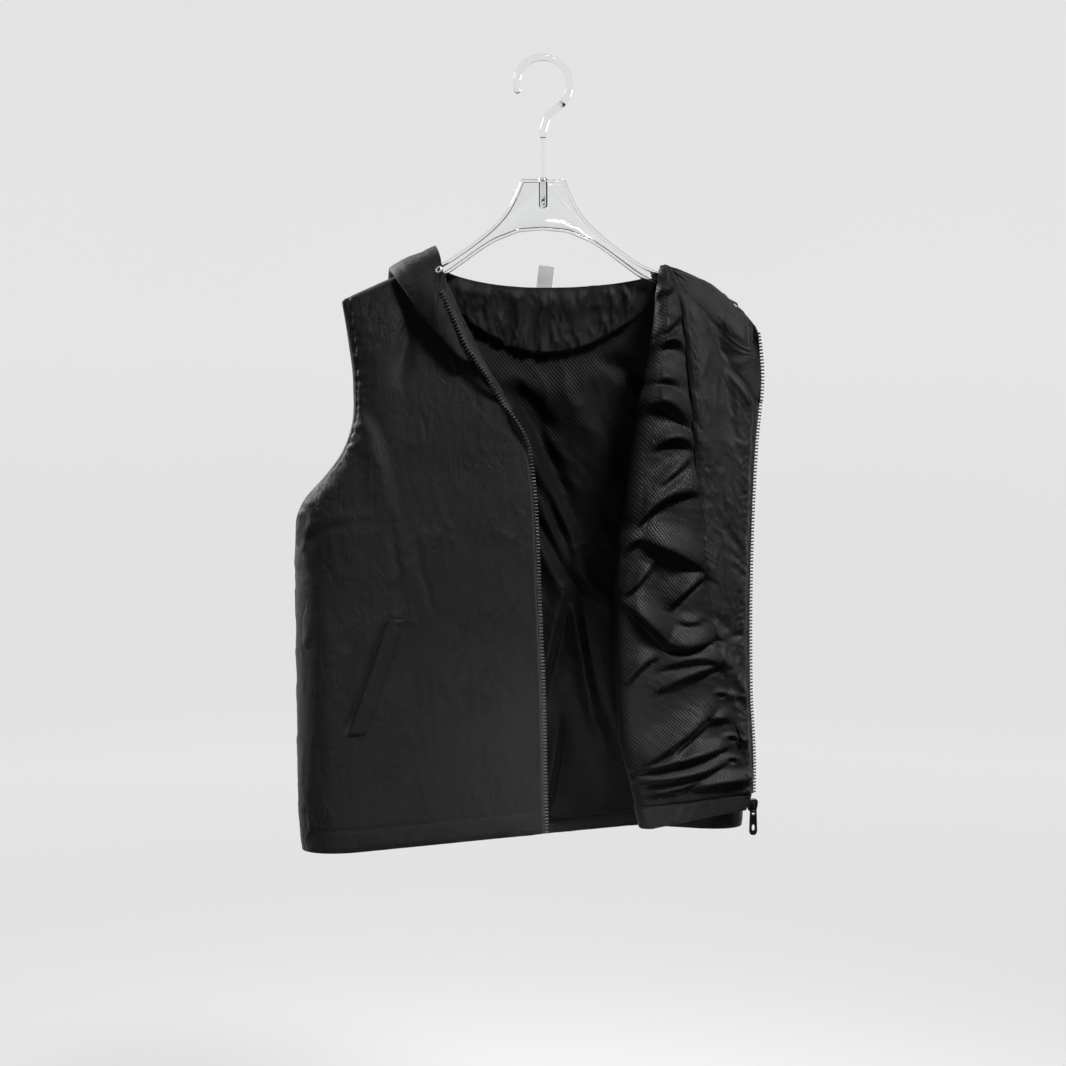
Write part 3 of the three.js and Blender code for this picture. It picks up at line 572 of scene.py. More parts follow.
def rolls(x, z, folds, steep=0.3, crest=4.0):
    """Rolls of slack cloth: a slow rise from above, a crest and a steep under side."""
    total = np.zeros_like(x)
    dip = np.zeros_like(x)
    for row, above, taper in fold_lines(x, z, folds):
        side = above - crest
        wide = np.where(side < 0, row["wide"] * steep, row["wide"])
        total += (row["high"] * taper * near(side, wide)) ** 3
        dip = np.maximum(dip, 0.22 * row["high"] * taper * near(above + 2.5, 3.0))
    return np.cbrt(total) - dip


def puckers(x, z):
    """Small rings of gathered cloth."""
    total = np.zeros_like(x)
    for px, pz, size in zip(PUCKERS["x"], PUCKERS["z"], PUCKERS["size"]):
        off = np.hypot(x - px + 0.3 * (z - pz), (z - pz) * 1.6)
        one_side = 0.55 + 0.45 * np.tanh((z - pz + 0.4 * (x - px)) / 4)
        total += 2.6 * one_side * near(off - size, 4.0)
        total -= 1.6 * near(off, size * 0.7)
    return total


def stitched(distance, wide, deep):
    """A shallow groove where a row of stitches pulls the cloth down."""
    return -deep * near(distance, wide)


# Shape of the body panels

side_half = through(SIDE, "z", "half")
side_front = through(SIDE, "z", "front")
side_back_half = through(SIDE, "z", "back_half")
side_back = through(SIDE, "z", "back")
side_pull = through(SIDE, "z", "pull")
front_depth = through(DEPTH, "drop", "front")
back_depth = through(DEPTH, "drop", "back")
right_edge_x = through(RIGHT_EDGE, "z", "x")
fold_x = through(FOLD_LINE, "z", "x")
fold_roll = through(FOLD_LINE, "z", "roll")
left_edge_x = through(LEFT_EDGE, "z", "x")
left_edge_y = through(LEFT_EDGE, "z", "y")
facing_wide = through(LEFT_EDGE, "z", "facing")
back_hem_z = through(BACK_HEM, "across", "z")
hood_of = {key: through(HOOD, "along", key) for key in HOOD if key != "along"}

# Lengths of the panels, and shares of a panel's height
TIP_Z = NECK_TOP - (SHOULDER_TIP - RIGHT_NECK) * SHOULDER_SLOPE
RIGHT_LENGTH = TIP_Z - RIGHT_HEM
BACK_LENGTH = 610.0
HEM_SHARE = HEM_TURN / RIGHT_LENGTH
BACK_HEM_SHARE = BACK_HEM_TURN / RIGHT_LENGTH
ARMPIT_SHARE = (ARMPIT - RIGHT_HEM) / RIGHT_LENGTH
NECK_SHARE = (NECK_POINT - ZIP_FOOT) / (NECK_TOP - ZIP_FOOT)
LOWER_SHOULDER = 1 - 20 / RIGHT_LENGTH
UPPER_SHOULDER = 1 - 2.2 / RIGHT_LENGTH
FACING_SHARE = 1 - 70 / BACK_LENGTH
FACING_TOP = 1.006


def shoulder_z(x):
    return NECK_TOP - (np.abs(x) - RIGHT_NECK) * SHOULDER_SLOPE


def drop_at(x, z):
    return np.maximum(0, shoulder_z(x) - z)


def quarter(t):
    """Share of the depth reached at a share t of the rounding."""
    return np.sqrt(np.maximum(0, 1 - (1 - clamp(t)) ** 2))


def from_side(u, part, end, span):
    """How far in from the side seam a point is: round the side, then flat."""
    bend = np.minimum(SIDE_ROUND, span * 0.55)
    turn = clamp(u / part) * np.pi / 2
    flat = mix(bend, span, (u - part) / (end - part))
    return bend, np.where(u < part, bend * (1 - np.cos(turn)), flat)


def right_front(u, v):
    z_out = mix(RIGHT_HEM, TIP_Z, v)
    z_in = mix(ZIP_FOOT, NECK_TOP, v)
    x_out = -side_half(z_out)
    span = right_edge_x(z_in) - x_out
    bend, inward = from_side(u, ROUND_PART, 1, span)
    x = x_out + inward
    z = mix(z_out, z_in, inward / span)
    y = -mix(side_front(z_out), front_depth(drop_at(x, z)), quarter(inward / bend))
    return np.stack([x, y, z], -1)


def back_across(u):
    size = np.abs(u)
    turn = (1 - size) / (1 - BACK_ROUND) * (np.pi / 2)
    bent = np.sign(u) * (1 - (1 - BACK_ROUND) * (1 - np.cos(turn)))
    return np.where(size <= BACK_ROUND, u, bent)


def back_top_z(across):
    x = np.abs(across) * SHOULDER_TIP
    half = np.where(across < 0, RIGHT_NECK, LEFT_NECK)
    dip = np.sqrt(np.maximum(0, 1 - (x / half) ** 2))
    inner = mix(shoulder_z(half), NECK_TOP - BACK_NECK_DROP, dip)
    return np.where(x >= half - 0.01, shoulder_z(x), inner)


def back(u, v):
    across = back_across(u)
    z = mix(back_hem_z(across), back_top_z(across), v)
    edge_z = mix(np.where(across < 0, RIGHT_HEM, LEFT_HEM), TIP_Z, v)
    x = across * (side_back_half(edge_z) - np.where(across < 0, 0, side_pull(edge_z)))
    inward = (1 - np.abs(across)) / (1 - BACK_ROUND)
    y = mix(side_back(edge_z), back_depth(drop_at(x, z)), quarter(inward))
    return np.stack([x, y, z], -1)


def left_front(u, v):
    """From the side seam to the fold, round its roll, and back out to the zip."""
    z_out = mix(LEFT_HEM, TIP_Z, v)
    z_fold = mix(FOLD_HEM, shoulder_z(LEFT_NECK), v)
    z_edge = mix(FLAP_HEM, NECK_POINT, v)
    x_out = side_half(z_out) - side_pull(z_out)
    roll = fold_roll(z_fold)
    x_turn = fold_x(z_fold) + roll
    y_turn = -front_depth(drop_at(x_turn, z_fold))
    span = x_out - x_turn

    bend, inward = from_side(u, LEFT_ROUND, LEFT_FOLD, span)
    under_x = x_out - inward
    under_z = mix(z_out, z_fold, inward / span)
    deep = front_depth(drop_at(under_x, under_z))
    under_y = -mix(side_front(z_out), deep, quarter(inward / bend))

    curl = clamp((u - LEFT_FOLD) / (LEFT_TURNED - LEFT_FOLD)) * np.pi
    roll_x = x_turn - roll * np.sin(curl)
    roll_y = y_turn - roll * (1 - np.cos(curl))

    q = clamp((u - LEFT_TURNED) / (1 - LEFT_TURNED))
    x_edge = left_edge_x(z_edge)
    lead = 1 - facing_wide(z_edge) / (x_edge - x_turn)
    on_facing = mix(lead, 1, (q - LINING_PART) / (1 - LINING_PART))
    f = np.where(q < LINING_PART, q / LINING_PART * lead, on_facing)
    flap_x = mix(x_turn, x_edge, f)
    flap_z = mix(z_fold, z_edge, 1 - (1 - f) ** 1.35)
    flap_y = mix(y_turn - 2 * roll, left_edge_y(z_edge), f) - 5 * np.sin(np.pi * f)

    under = u <= LEFT_FOLD
    rolling = u <= LEFT_TURNED
    x = np.where(under, under_x, np.where(rolling, roll_x, flap_x))
    y = np.where(under, under_y, np.where(rolling, roll_y, flap_y))
    z = np.where(under, under_z, np.where(rolling, z_fold, flap_z))
    return np.stack([x, y, z], -1)


# Sheets of cloth on a grid

def normals(P, outward):
    """The way out of the cloth at each point of a grid."""
    nu, nv = P.shape[:2]
    i, j = np.arange(nu), np.arange(nv)
    du = P[np.minimum(i + 1, nu - 1)] - P[np.maximum(i - 1, 0)]
    dv = P[:, np.minimum(j + 1, nv - 1)] - P[:, np.maximum(j - 1, 0)]
    return unit(np.cross(du, dv) * outward)


class Cloth:
    """A grid of points on a sheet, the way out of the cloth, and lengths along it."""

    def __init__(self, us, vs, points, outward):
        self.us, self.vs = us, vs
        self.P = points
        self.x, self.z = points[..., 0], points[..., 2]
        self.outward = outward
        self.N = normals(points, outward)
        self.across = run_lengths(points, 0)
        self.up = run_lengths(points, 1)
        self.from_end = self.across[-1:] - self.across

    def edge_fade(self, start=0, end=0, foot=0, top=0):
        """1 inside the cloth, falling to 0 at the borders over the given widths."""
        fade = np.ones(self.P.shape[:2])
        below_top = self.up[:, -1:] - self.up
        borders = ((start, self.across), (end, self.from_end), (foot, self.up), (top, below_top))
        for reach, away in borders:
            if reach:
                fade *= ramp(away, 0, reach)
        return fade

    def offset(self, lift):
        """Points moved out along the way out of the cloth."""
        return self.P + self.N * np.asarray(lift)[..., None]

    def moved(self, lift):
        """The same cloth moved out by lift at each point, with fresh normals."""
        return Cloth(self.us, self.vs, self.offset(lift), self.outward)

    def at(self, u, v):
        """Points and normals at shares u, v."""
        i = np.interp(u, self.us, np.arange(len(self.us)))
        j = np.interp(v, self.vs, np.arange(len(self.vs)))
        i0 = np.clip(np.floor(i).astype(int), 0, len(self.us) - 2)
        j0 = np.clip(np.floor(j).astype(int), 0, len(self.vs) - 2)
        a = (i - i0)[..., None]
        b = (j - j0)[..., None]

        def blend(G):
            low = mix(G[i0, j0], G[i0 + 1, j0], a)
            high = mix(G[i0, j0 + 1], G[i0 + 1, j0 + 1], a)
            return mix(low, high, b)

        return blend(self.P), unit(blend(self.N))


def sheet(us, vs, place, outward):
    U, V = np.meshgrid(us, vs, indexing="ij")
    return Cloth(us, vs, place(U, V), outward)


# Meshes

def link(obj):
    bpy.context.scene.collection.objects.link(obj)
    return obj


def mesh_object(name, points, faces, materials, uv=None, face_material=None, sharp=None):
    """A mesh from points in millimetres; uv has one pair in metres for each point."""
    mesh = bpy.data.meshes.new(name)
    mesh.from_pydata((np.asarray(points) * MM).tolist(), [], [list(map(int, f)) for f in faces])
    for material in materials:
        mesh.materials.append(material)
    if uv is not None:
        layer = mesh.uv_layers.new(name="flat")
        loops = np.empty(len(mesh.loops), np.int32)
        mesh.loops.foreach_get("vertex_index", loops)
        layer.data.foreach_set("uv", np.asarray(uv, np.float32)[loops].ravel())
    mesh.polygons.foreach_set("use_smooth", np.ones(len(mesh.polygons), bool))
    if face_material is not None:
        mesh.polygons.foreach_set("material_index", np.asarray(face_material, np.int32))
    if sharp is not None:
        ends = np.empty(len(mesh.edges) * 2, np.int32)
        mesh.edges.foreach_get("vertices", ends)
        one, two = sharp[ends.reshape(-1, 2)].T
        mesh.edges.foreach_set("use_edge_sharp", (one > 0) & (one == two))
    mesh.update()
    mesh.validate()
    return link(bpy.data.objects.new(name, mesh))


def grid_faces(index):
    """Four-sided faces between the points of a grid of indices."""
    corners = (index[:-1, :-1], index[1:, :-1], index[1:, 1:], index[:-1, 1:])
    return np.stack([c.ravel() for c in corners], -1)


def ring_faces(rings, sides, closed=False):
    """Faces of a skin over rings of points, with a face on each end unless it is closed."""
    faces = []
    for k in range(rings if closed else rings - 1):
        e = (k + 1) % rings
        for s in range(sides):
            n = (s + 1) % sides
            faces.append((k * sides + s, e * sides + s, e * sides + n, k * sides + n))
    if not closed:
        faces.append(tuple(range(sides)))
        faces.append(tuple((rings - 1) * sides + s for s in reversed(range(sides))))
    return faces


def flipped(faces):
    return [face[::-1] for face in faces]


def wall(name, cloth, inner, outer, materials, inner_material=0):
    """A closed cloth wall between two offsets along the way out of the cloth."""
    nu, nv = cloth.P.shape[:2]
    count = nu * nv
    points = [cloth.offset(np.broadcast_to(lift, (nu, nv))).reshape(-1, 3) for lift in (outer, inner)]
    index = np.arange(count).reshape(nu, nv)
    front = grid_faces(index)
    rear = np.roll(front[:, ::-1], 1, axis=1) + count
    ring = np.concatenate([index[:-1, 0], index[-1, :-1], index[:0:-1, -1], index[0, :0:-1]])
    after = np.roll(ring, -1)
    rim = np.stack([after, ring, ring + count, after + count], -1)
    faces = np.concatenate([front, rear, rim])
    if cloth.outward < 0:
        faces = faces[:, ::-1]
    which = np.zeros(len(faces), int)
    which[len(front):len(front) + len(rear)] = inner_material
    uv = np.stack([cloth.across - cloth.across[nu // 2], cloth.up], -1).reshape(-1, 2) * MM
    sharp = np.zeros(2 * count, int)
    sharp[ring] = 1
    sharp[ring + count] = 2
    both = np.concatenate([uv, uv])
    return mesh_object(name, np.concatenate(points), faces, materials, both, which, sharp)


def inside_wall(name, cloth, start, lift, thick, material):
    """A layer inside a cloth that begins at start and stands further in by lift."""
    return wall(name, cloth, -start - thick - lift, -start - lift, [material])


def tube(name, path, radii, sides, material, across=(0.0, 1.0, 0.0)):
    """A round bar along a path with a radius at each point and rounded ends."""
    path = np.asarray(path, float)
    radii = np.broadcast_to(np.asarray(radii, float), (len(path),))
    way = unit(np.gradient(path, axis=0))
    side = unit(np.cross(way, across))
    third = unit(np.cross(side, way))
    ends = np.linspace(0.12, np.pi / 2, 5)
    middle = len(path) - 2
    which = np.concatenate([np.zeros(5, int), np.arange(1, middle + 1), np.full(5, middle + 1)])
    past = np.concatenate([-np.cos(ends), np.zeros(middle), np.cos(ends)[::-1]]) * radii[which]
    size = np.concatenate([np.sin(ends), np.ones(middle), np.sin(ends)[::-1]]) * radii[which]
    centre = path[which] + way[which] * past[:, None]
    turn = np.linspace(0, 2 * np.pi, sides, endpoint=False)[:, None]
    points = []
    for c, r, k in zip(centre, size, which):
        points.append(c + r * (np.cos(turn) * side[k] + np.sin(turn) * third[k]))
    return mesh_object(name, np.concatenate(points), ring_faces(len(which), sides), [material])


def lathe(name, profile, centre, axis, sides, material):
    """A closed section of radius and height turned round an axis."""
    axis = unit(np.asarray(axis, float))
    help_way = np.array([1.0, 0, 0]) if abs(axis[0]) < 0.8 else np.array([0, 1.0, 0])
    one = unit(np.cross(axis, help_way))
    two = np.cross(axis, one)
    turn = np.linspace(0, 2 * np.pi, sides, endpoint=False)[:, None]
    circle = np.cos(turn) * one + np.sin(turn) * two
    points = [centre + axis * height + radius * circle for radius, height in profile]
    faces = flipped(ring_faces(len(profile), sides, closed=True))
    return mesh_object(name, np.concatenate(points), faces, [material])


def copies(name, shape, faces, places, material):
    """One mesh of many small copies; each place is centre, way, side and up."""
    centre, *ways = (np.asarray(p, float)[:, None, :] for p in places)
    points = centre + sum(shape[None, :, k:k + 1] * way for k, way in enumerate(ways))
    every = []
    for k in range(len(points)):
        for face in faces:
            every.append([k * len(shape) + i for i in face])
    return mesh_object(name, points.reshape(-1, 3), every, [material])


def spaced(points, extra, pitch):
    """Places along a line every pitch, with the values in extra and the way there."""
    run = run_lengths(points)
    count = max(2, int(run[-1] / pitch))
    marks = (np.arange(count) + 0.5) * run[-1] / count
    picked = [read_off(marks, run, values) for values in (points, *extra)]
    behind, ahead = (read_off(marks + s, run, points) for s in (-0.8, 0.8))
    return picked, unit(ahead - behind)


def stitch_shape(long, thick):
    """One stitch: a short thread that dips into the cloth at both ends."""
    sides = 5
    marks = np.array([-1, -0.6, 0.6, 1])
    shape = []
    for t in marks:
        lift = 0.55 * thick * (1 - t ** 4) - 0.1
        radius = thick * 0.5 * (1 - 0.45 * t ** 6)
        for turn in 2 * np.pi * np.arange(sides) / sides:
            shape.append((t * long / 2, radius * np.cos(turn), lift + radius * np.sin(turn)))
    return np.array(shape), flipped(ring_faces(len(marks), sides))


def stitches(name, runs, long=2.7, thick=0.62, pitch=3.5):
    """Rows of stitches along runs of points with normals."""
    shape, faces = stitch_shape(long, thick)
    rows = []
    for points, faced in runs:
        (centre, up), way = spaced(points, [faced], pitch)
        rows.append((centre, way, up))
    centre, way, up = (np.concatenate(part) for part in zip(*rows))
    side = unit(np.cross(up, way))
    up = unit(np.cross(way, side))
    return keep(copies(name, shape, faces, (centre, way, side, up), thread), "shell_nylon")


def inset_run(cloth, side, distance, low=0.0, high=1.0):
    """A run on the shell's outer face at a fixed distance in from one border."""
    P, N = cloth.offset(SHELL), cloth.N
    if side in ("start", "end"):
        marks, run = cloth.vs, cloth.across
    else:
        marks, run = cloth.us, cloth.up.T
        P, N = P.swapaxes(0, 1), N.swapaxes(0, 1)
    points, faced = [], []
    for j in np.flatnonzero((marks >= low) & (marks <= high)):
        want = distance if side in ("start", "foot") else run[-1, j] - distance
        points.append(read_off(want, run[:, j], P[:, j]))
        faced.append(read_off(want, run[:, j], N[:, j]))
    return np.array(points), unit(np.array(faced))


# Materials

class Finish:
    """A material, with short ways to add and join its nodes."""

    def __init__(self, name):
        self.material = bpy.data.materials.new(name)
        self.material.use_nodes = True
        self.tree = self.material.node_tree
        self.shader = self.tree.nodes["Principled BSDF"]
        coordinates = self.node("ShaderNodeTexCoord")
        self.uv = coordinates.outputs["UV"]
        self.place = coordinates.outputs["Object"]

    def give(self, node, values):
        """Sets a node's sockets: joins the output of another node, or sets a value."""
        for key, value in values.items():
            if isinstance(value, bpy.types.NodeSocket):
                self.tree.links.new(value, node.inputs[key])
            else:
                node.inputs[key].default_value = value

    def node(self, kind, values=None, **options):
        node = self.tree.nodes.new(kind)
        for key, value in options.items():
            setattr(node, key, value)
        self.give(node, values or {})
        return node

    def maths(self, operation, *values):
        return self.node("ShaderNodeMath", dict(enumerate(values)), operation=operation).outputs[0]

    def weighted(self, a, share_a, b, share_b):
        return self.maths("ADD", self.maths("MULTIPLY", a, share_a), self.maths("MULTIPLY", b, share_b))

    def stripes(self, value, pitch):
        return self.maths("SINE", self.maths("MULTIPLY", value, 2 * math.pi / pitch))

    def parts(self, vector):
        return self.node("ShaderNodeSeparateXYZ", {0: vector}).outputs

    def noise(self, vector, scale, detail=2.0, rough=0.5, stretch=None):
        if stretch is not None:
            vector = self.node("ShaderNodeMapping", {"Vector": vector, "Scale": stretch}).outputs[0]
        values = {"Vector": vector, "Scale": scale, "Detail": detail, "Roughness": rough}
        return self.node("ShaderNodeTexNoise", values).outputs["Fac"]

    def bands(self, vector, scale, direction, distortion=0.0):
        values = {"Vector": vector, "Scale": scale, "Distortion": distortion}
        options = {"wave_type": "BANDS", "bands_direction": direction}
        return self.node("ShaderNodeTexWave", values, **options).outputs["Fac"]

    def span(self, value, low, high, to_low, to_high):
        values = {"Value": value, "From Min": low, "From Max": high, "To Min": to_low, "To Max": to_high}
        return self.node("ShaderNodeMapRange", values).outputs["Result"]

    def colours(self, value, *stops):
        node = self.node("ShaderNodeValToRGB", {"Fac": value})
        for element, (place, colour) in zip(node.color_ramp.elements, stops):
            element.position = place
            element.color = (*colour, 1)
        return node.outputs["Color"]

    def bump(self, height, distance, strength, before=None):
        values = {"Height": height, "Distance": distance, "Strength": strength}
        if before is not None:
            values["Normal"] = before
        return self.node("ShaderNodeBump", values).outputs["Normal"]

    def shade(self, colour, rough, normal=None, **levels):
        """Joins the shader's main sockets and sets its even levels."""
        self.give(self.shader, {"Base Color": colour, "Roughness": rough})
        if normal is not None:
            self.give(self.shader, {"Normal": normal})
        names = {
            "metal": "Metallic",
            "gloss": "Specular IOR Level",
            "sheen": "Sheen Weight",
            "sheen_rough": "Sheen Roughness",
            "clear": "Transmission Weight",
            "ior": "IOR",
        }
        self.give(self.shader, {names[key]: value for key, value in levels.items()})
        return self.material


def grey(value):
    return (value, value, value)


def crease_lines(f, scale, stretch, narrow):
    """Thin wandering lines where smooth noise crosses its middle."""
    wander = f.noise(f.place, scale, stretch=(1.0, 1.0, stretch))
    off = f.maths("ABSOLUTE", f.maths("SUBTRACT", wander, 0.5))
    return f.span(off, 0.0, narrow, 1.0, 0.0)


def crinkled_nylon(name, dark, light):
    """Thin matt nylon: thin crease lines in patches, a fine weave and faint clouding."""
    f = Finish(name)
    cloud = f.noise(f.place, 16, 3, 0.6)
    patch = f.span(f.noise(f.place, 24), 0.42, 0.62, 0.15, 1.0)
    long_lines = crease_lines(f, 34, 0.4, 0.05)
    short_lines = f.maths("MULTIPLY", crease_lines(f, 85, 0.6, 0.07), 0.6)
    lines = f.maths("MULTIPLY", f.maths("MAXIMUM", long_lines, short_lines), patch)
    soft = f.noise(f.place, 48, stretch=(1.0, 1.0, 0.5))
    across, up = f.parts(f.uv)[:2]
    weave = f.maths("MULTIPLY", f.stripes(across, WEAVE_PITCH), f.stripes(up, WEAVE_PITCH))
    tone = f.weighted(soft, 0.4, cloud, 0.6)
    creased = f.bump(f.weighted(soft, 1.1, lines, -0.5), 0.0013, 0.85)
    return f.shade(
        f.colours(tone, (0.25, dark), (0.75, light)),
        f.span(cloud, 0.3, 0.7, 0.54, 0.66),
        f.bump(weave, 0.0001, 0.4, creased),
        gloss=0.3, sheen=0.05, sheen_rough=0.45,
    )


def mesh_cloth(name, thread_tone, hole_tone, gloss):
    """Knitted mesh: slanting rows of small holes between smooth threads."""
    f = Finish(name)
    across, up = f.parts(f.uv)[:2]
    slant = f.maths("MULTIPLY", up, 0.8)
    row = f.stripes(f.maths("ADD", across, slant), MESH_PITCH)
    cross = f.stripes(f.maths("SUBTRACT", across, slant), MESH_PITCH)
    raised = f.span(f.weighted(row, 0.7, cross, 0.3), -0.5, 0.4, 0.0, 1.0)
    cloud = f.noise(f.uv, 22, 3, 0.6)
    tone = f.maths("MULTIPLY", raised, f.span(cloud, 0.25, 0.75, 0.8, 1.0))
    return f.shade(
        f.colours(tone, (0.1, hole_tone), (0.9, thread_tone)),
        f.span(raised, 0.0, 1.0, 0.8, 0.54),
        f.bump(raised, 0.0004, 0.5),
        gloss=gloss, sheen=0.03, sheen_rough=0.35,
    )


def woven_tape(name, dark, light):
    f = Finish(name)
    ribs = f.bands(f.place, 420, "DIAGONAL", 0.6)
    cloud = f.noise(f.place, 60, 3)
    return f.shade(
        f.colours(f.maths("MULTIPLY", ribs, cloud), (0.1, dark), (0.7, light)),
        f.span(cloud, 0.3, 0.7, 0.55, 0.7),
        f.bump(ribs, 0.00025, 0.6),
        gloss=0.35,
    )


def plain_finish(name, low, high, rough, metal=0.0, grain=1200.0, depth=0.00008, gloss=0.5):
    """Moulded plastic, metal or thread with a fine grain and slight wear."""
    f = Finish(name)
    cloud = f.noise(f.place, 120, 3, 0.6)
    fine = f.noise(f.place, grain)
    return f.shade(
        f.colours(cloud, (0.3, low), (0.7, high)),
        f.span(fine, 0.3, 0.7, rough * 0.8, rough * 1.25),
        f.bump(fine, depth, 0.5),
        metal=metal, gloss=gloss,
    )


def clear_plastic(name):
    """Clear acrylic with faint scuffs."""
    f = Finish(name)
    scuff = f.noise(f.place, 40, 5, 0.65)
    return f.shade(
        f.colours(scuff, (0.3, (0.93, 0.95, 0.96)), (0.7, (0.985, 0.99, 0.995))),
        f.span(scuff, 0.35, 0.75, 0.02, 0.09),
        f.bump(scuff, 0.0004, 0.12),
        clear=1.0, ior=1.49,
    )


def satin_label(name):
    f = Finish(name)
    cloud = f.noise(f.uv, 40, 3)
    return f.shade(
        f.colours(cloud, (0.3, grey(0.88)), (0.7, grey(0.96))),
        f.span(cloud, 0.3, 0.7, 0.45, 0.6),
        f.bump(f.bands(f.uv, 260, "Y"), 0.0001, 0.5),
    )


nylon = crinkled_nylon("black_nylon", grey(0.0108), grey(0.0158))
lining_cloth = mesh_cloth("mesh_lining", grey(0.0085), grey(0.0009), 0.33)
# The back lining is the same mesh cloth as the flap's lining, painted darker for the shade inside the
# vest: painted shade.
back_mesh_painted_shade = mesh_cloth("back_mesh_painted_shade", grey(0.0066), grey(0.0007), 0.26)
tape_cloth = woven_tape("zip_tape", grey(0.024), grey(0.065))
tooth_plastic = plain_finish("zip_tooth", grey(0.05), grey(0.09), 0.32)
slider_metal = plain_finish("slider_metal", grey(0.02), grey(0.05), 0.32, 0.85)
# The eyelets are pale with little metal so that they read white: partly their own light colour, partly a
# painted reflection standing in for the metal's shine.
eyelet_metal = plain_finish("eyelet_metal", grey(0.8), grey(0.92), 0.25, 0.3)
thread = plain_finish("thread", grey(0.009), grey(0.02), 0.55, 0.0, 2400.0, 0.0001, 0.4)
acrylic = clear_plastic("clear_acrylic")
label_satin = satin_label("label_satin")


def keep(obj, slot, *stands_for):
    """Gives a piece its body and hides the solids that it stands for; the slot is not used."""
    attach(obj, "root")
    if stands_for:
        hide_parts(*stands_for)
    return obj


# Right front

front_rows = steps([0, HEM_SHARE, LOWER_SHOULDER, UPPER_SHOULDER, 1], [10, 216, 7, 3])
right_base = sheet(steps([0, ROUND_PART, 1], [26, 74]), front_rows, right_front, 1)


def welt_line(v):
    """Share of the panel's width where the welt's outer edge lies."""
    return WELT_FOOT[0] + WELT_SLOPE * (v - WELT_FOOT[1])


def pocket_mouth(u, v):
    """The slit of the pocket beside the welt."""
    ends = ramp(v, WELT_FOOT[1], WELT_FOOT[1] + 0.02) * ramp(-v, -WELT_TOP[1], 0.02 - WELT_TOP[1])
    return stitched((u - welt_line(v)) * POCKET_SPAN + 3.0, 2.4, 4.2) * ends


def from_armhole(cloth, distance):
    """Distance from the armhole's edge, and far away below the armhole."""
    far = 99.0
    return np.where(cloth.z > ARMPIT - 20, distance, far)


def hem_pucker(cloth, seed):
    """Small gathers along the stitched hem."""
    return 0.5 * noise(cloth.x / 5.5, cloth.z / 22, seed) * near(cloth.up - HEM_TURN, 14)


def right_lift(cloth):
    x, z = cloth.x, cloth.z
    fade = cloth.edge_fade(start=10, end=10, foot=6, top=26)
    patches = ramp(noise(x / 60, z / 80, 6), -0.35, 0.5)
    soft = 1.4 * waves(x, z, RIGHT_FOLDS)
    fine = 2.1 * crinkle(x, z, 11) * mix(0.3, 1.0, patches)
    wide = 2.0 * swell(x / 70, z / 190, 5)
    from_zip = cloth.from_end
    from_arm = from_armhole(cloth, cloth.across)
    pucker = hem_pucker(cloth, 8)
    pucker += 0.35 * noise(x / 16, z / 6, 9) * near(from_zip - EDGE_STITCH, 8)
    pucker += 1.6 * noise(x / 17, z / 7, 10) * near(from_arm - 9, 9)
    groove = stitched(cloth.up - HEM_TURN, 1.6, 0.8)
    groove += stitched(from_zip - EDGE_STITCH, 1.4, 0.5)
    groove += stitched(from_arm - EDGE_STITCH, 1.5, 1.2)
    groove += pocket_mouth(cloth.us[:, None], cloth.vs[None, :])
    return 0.7 + (soft + fine + wide + pucker) * fade + groove


right_cloth = right_base.moved(right_lift(right_base))
right_panel = wall("right_front", right_cloth, 0, SHELL, [nylon, lining_cloth], 1)
keep(right_panel, "shell_nylon", "right_front_panel")
right_seams = stitches("right_front_stitches", [
    inset_run(right_cloth, "foot", HEM_TURN, 0.01, 0.99),
    inset_run(right_cloth, "end", EDGE_STITCH, 0.012, NECK_SHARE),
    inset_run(right_cloth, "start", EDGE_STITCH, ARMPIT_SHARE + 0.02, 0.985),
])


# Pocket welt: a folded strip on the right front, stitched at both ends

def welt_point(s, t):
    """Point on the right front at a share s across the welt and t up it."""
    up = mix(WELT_FOOT[1], WELT_TOP[1], t)
    return right_cloth.at(welt_line(up) + WELT_WIDE / POCKET_SPAN * s, up - 0.004 * s)


welt_s = steps([0, 0.12, 0.88, 1], [4, 10, 4])
welt_t = steps([0, 0.03, 0.97, 1], [4, 60, 4])
WS, WT = np.meshgrid(welt_s, welt_t, indexing="ij")
welt_p, welt_n = welt_point(WS, WT)
welt_round = quarter(np.minimum(WS, 1 - WS) / 0.12) * quarter(np.minimum(WT, 1 - WT) / 0.03)
welt_soft = 0.21 * noise(WS * 3, WT * 26, 31) * np.sin(np.pi * WS)
welt_high = SHELL + mix(2.0, 0.3, WS) + 0.8 * welt_round + welt_soft
welt_cloth = Cloth(welt_s, welt_t, welt_p + welt_n * welt_high[..., None], 1)
welt_piece = keep(wall("pocket_welt", welt_cloth, -1.1, 0.35, [nylon]), "shell_nylon", "right_pocket_welt")

welt_lines = [(np.full(60, s), np.linspace(0.03, 0.97, 60)) for s in (0.16, 0.84)]
welt_lines += [(np.linspace(0.1, 0.9, 12), np.full(12, t)) for t in (0.03, 0.06, 0.94, 0.97)]
welt_runs = []
for s, t in welt_lines:
    p, n = welt_cloth.at(s, t)
    welt_runs.append((p + n * 0.4, n))
for corner, after in zip(WELT_CORNERS, WELT_CORNERS[1:] + WELT_CORNERS[:1]):
    share = np.linspace(0, 1, 40)
    p, n = welt_point(mix(corner[0], after[0], share), mix(corner[1], after[1], share))
    welt_runs.append((p + n * SHELL, n))
welt_seams = stitches("pocket_stitches", welt_runs, 2.4, 0.55, 3.2)


# Back

def arc_columns(half, count):
    share = np.linspace(0, 1, count + 1)
    return half / SHOULDER_TIP * mix(share, np.sin(share * np.pi / 2), 0.7)


def outer_columns(half, inner, outer):
    return steps([half / SHOULDER_TIP, BACK_ROUND, 1], [inner, outer])[1:]


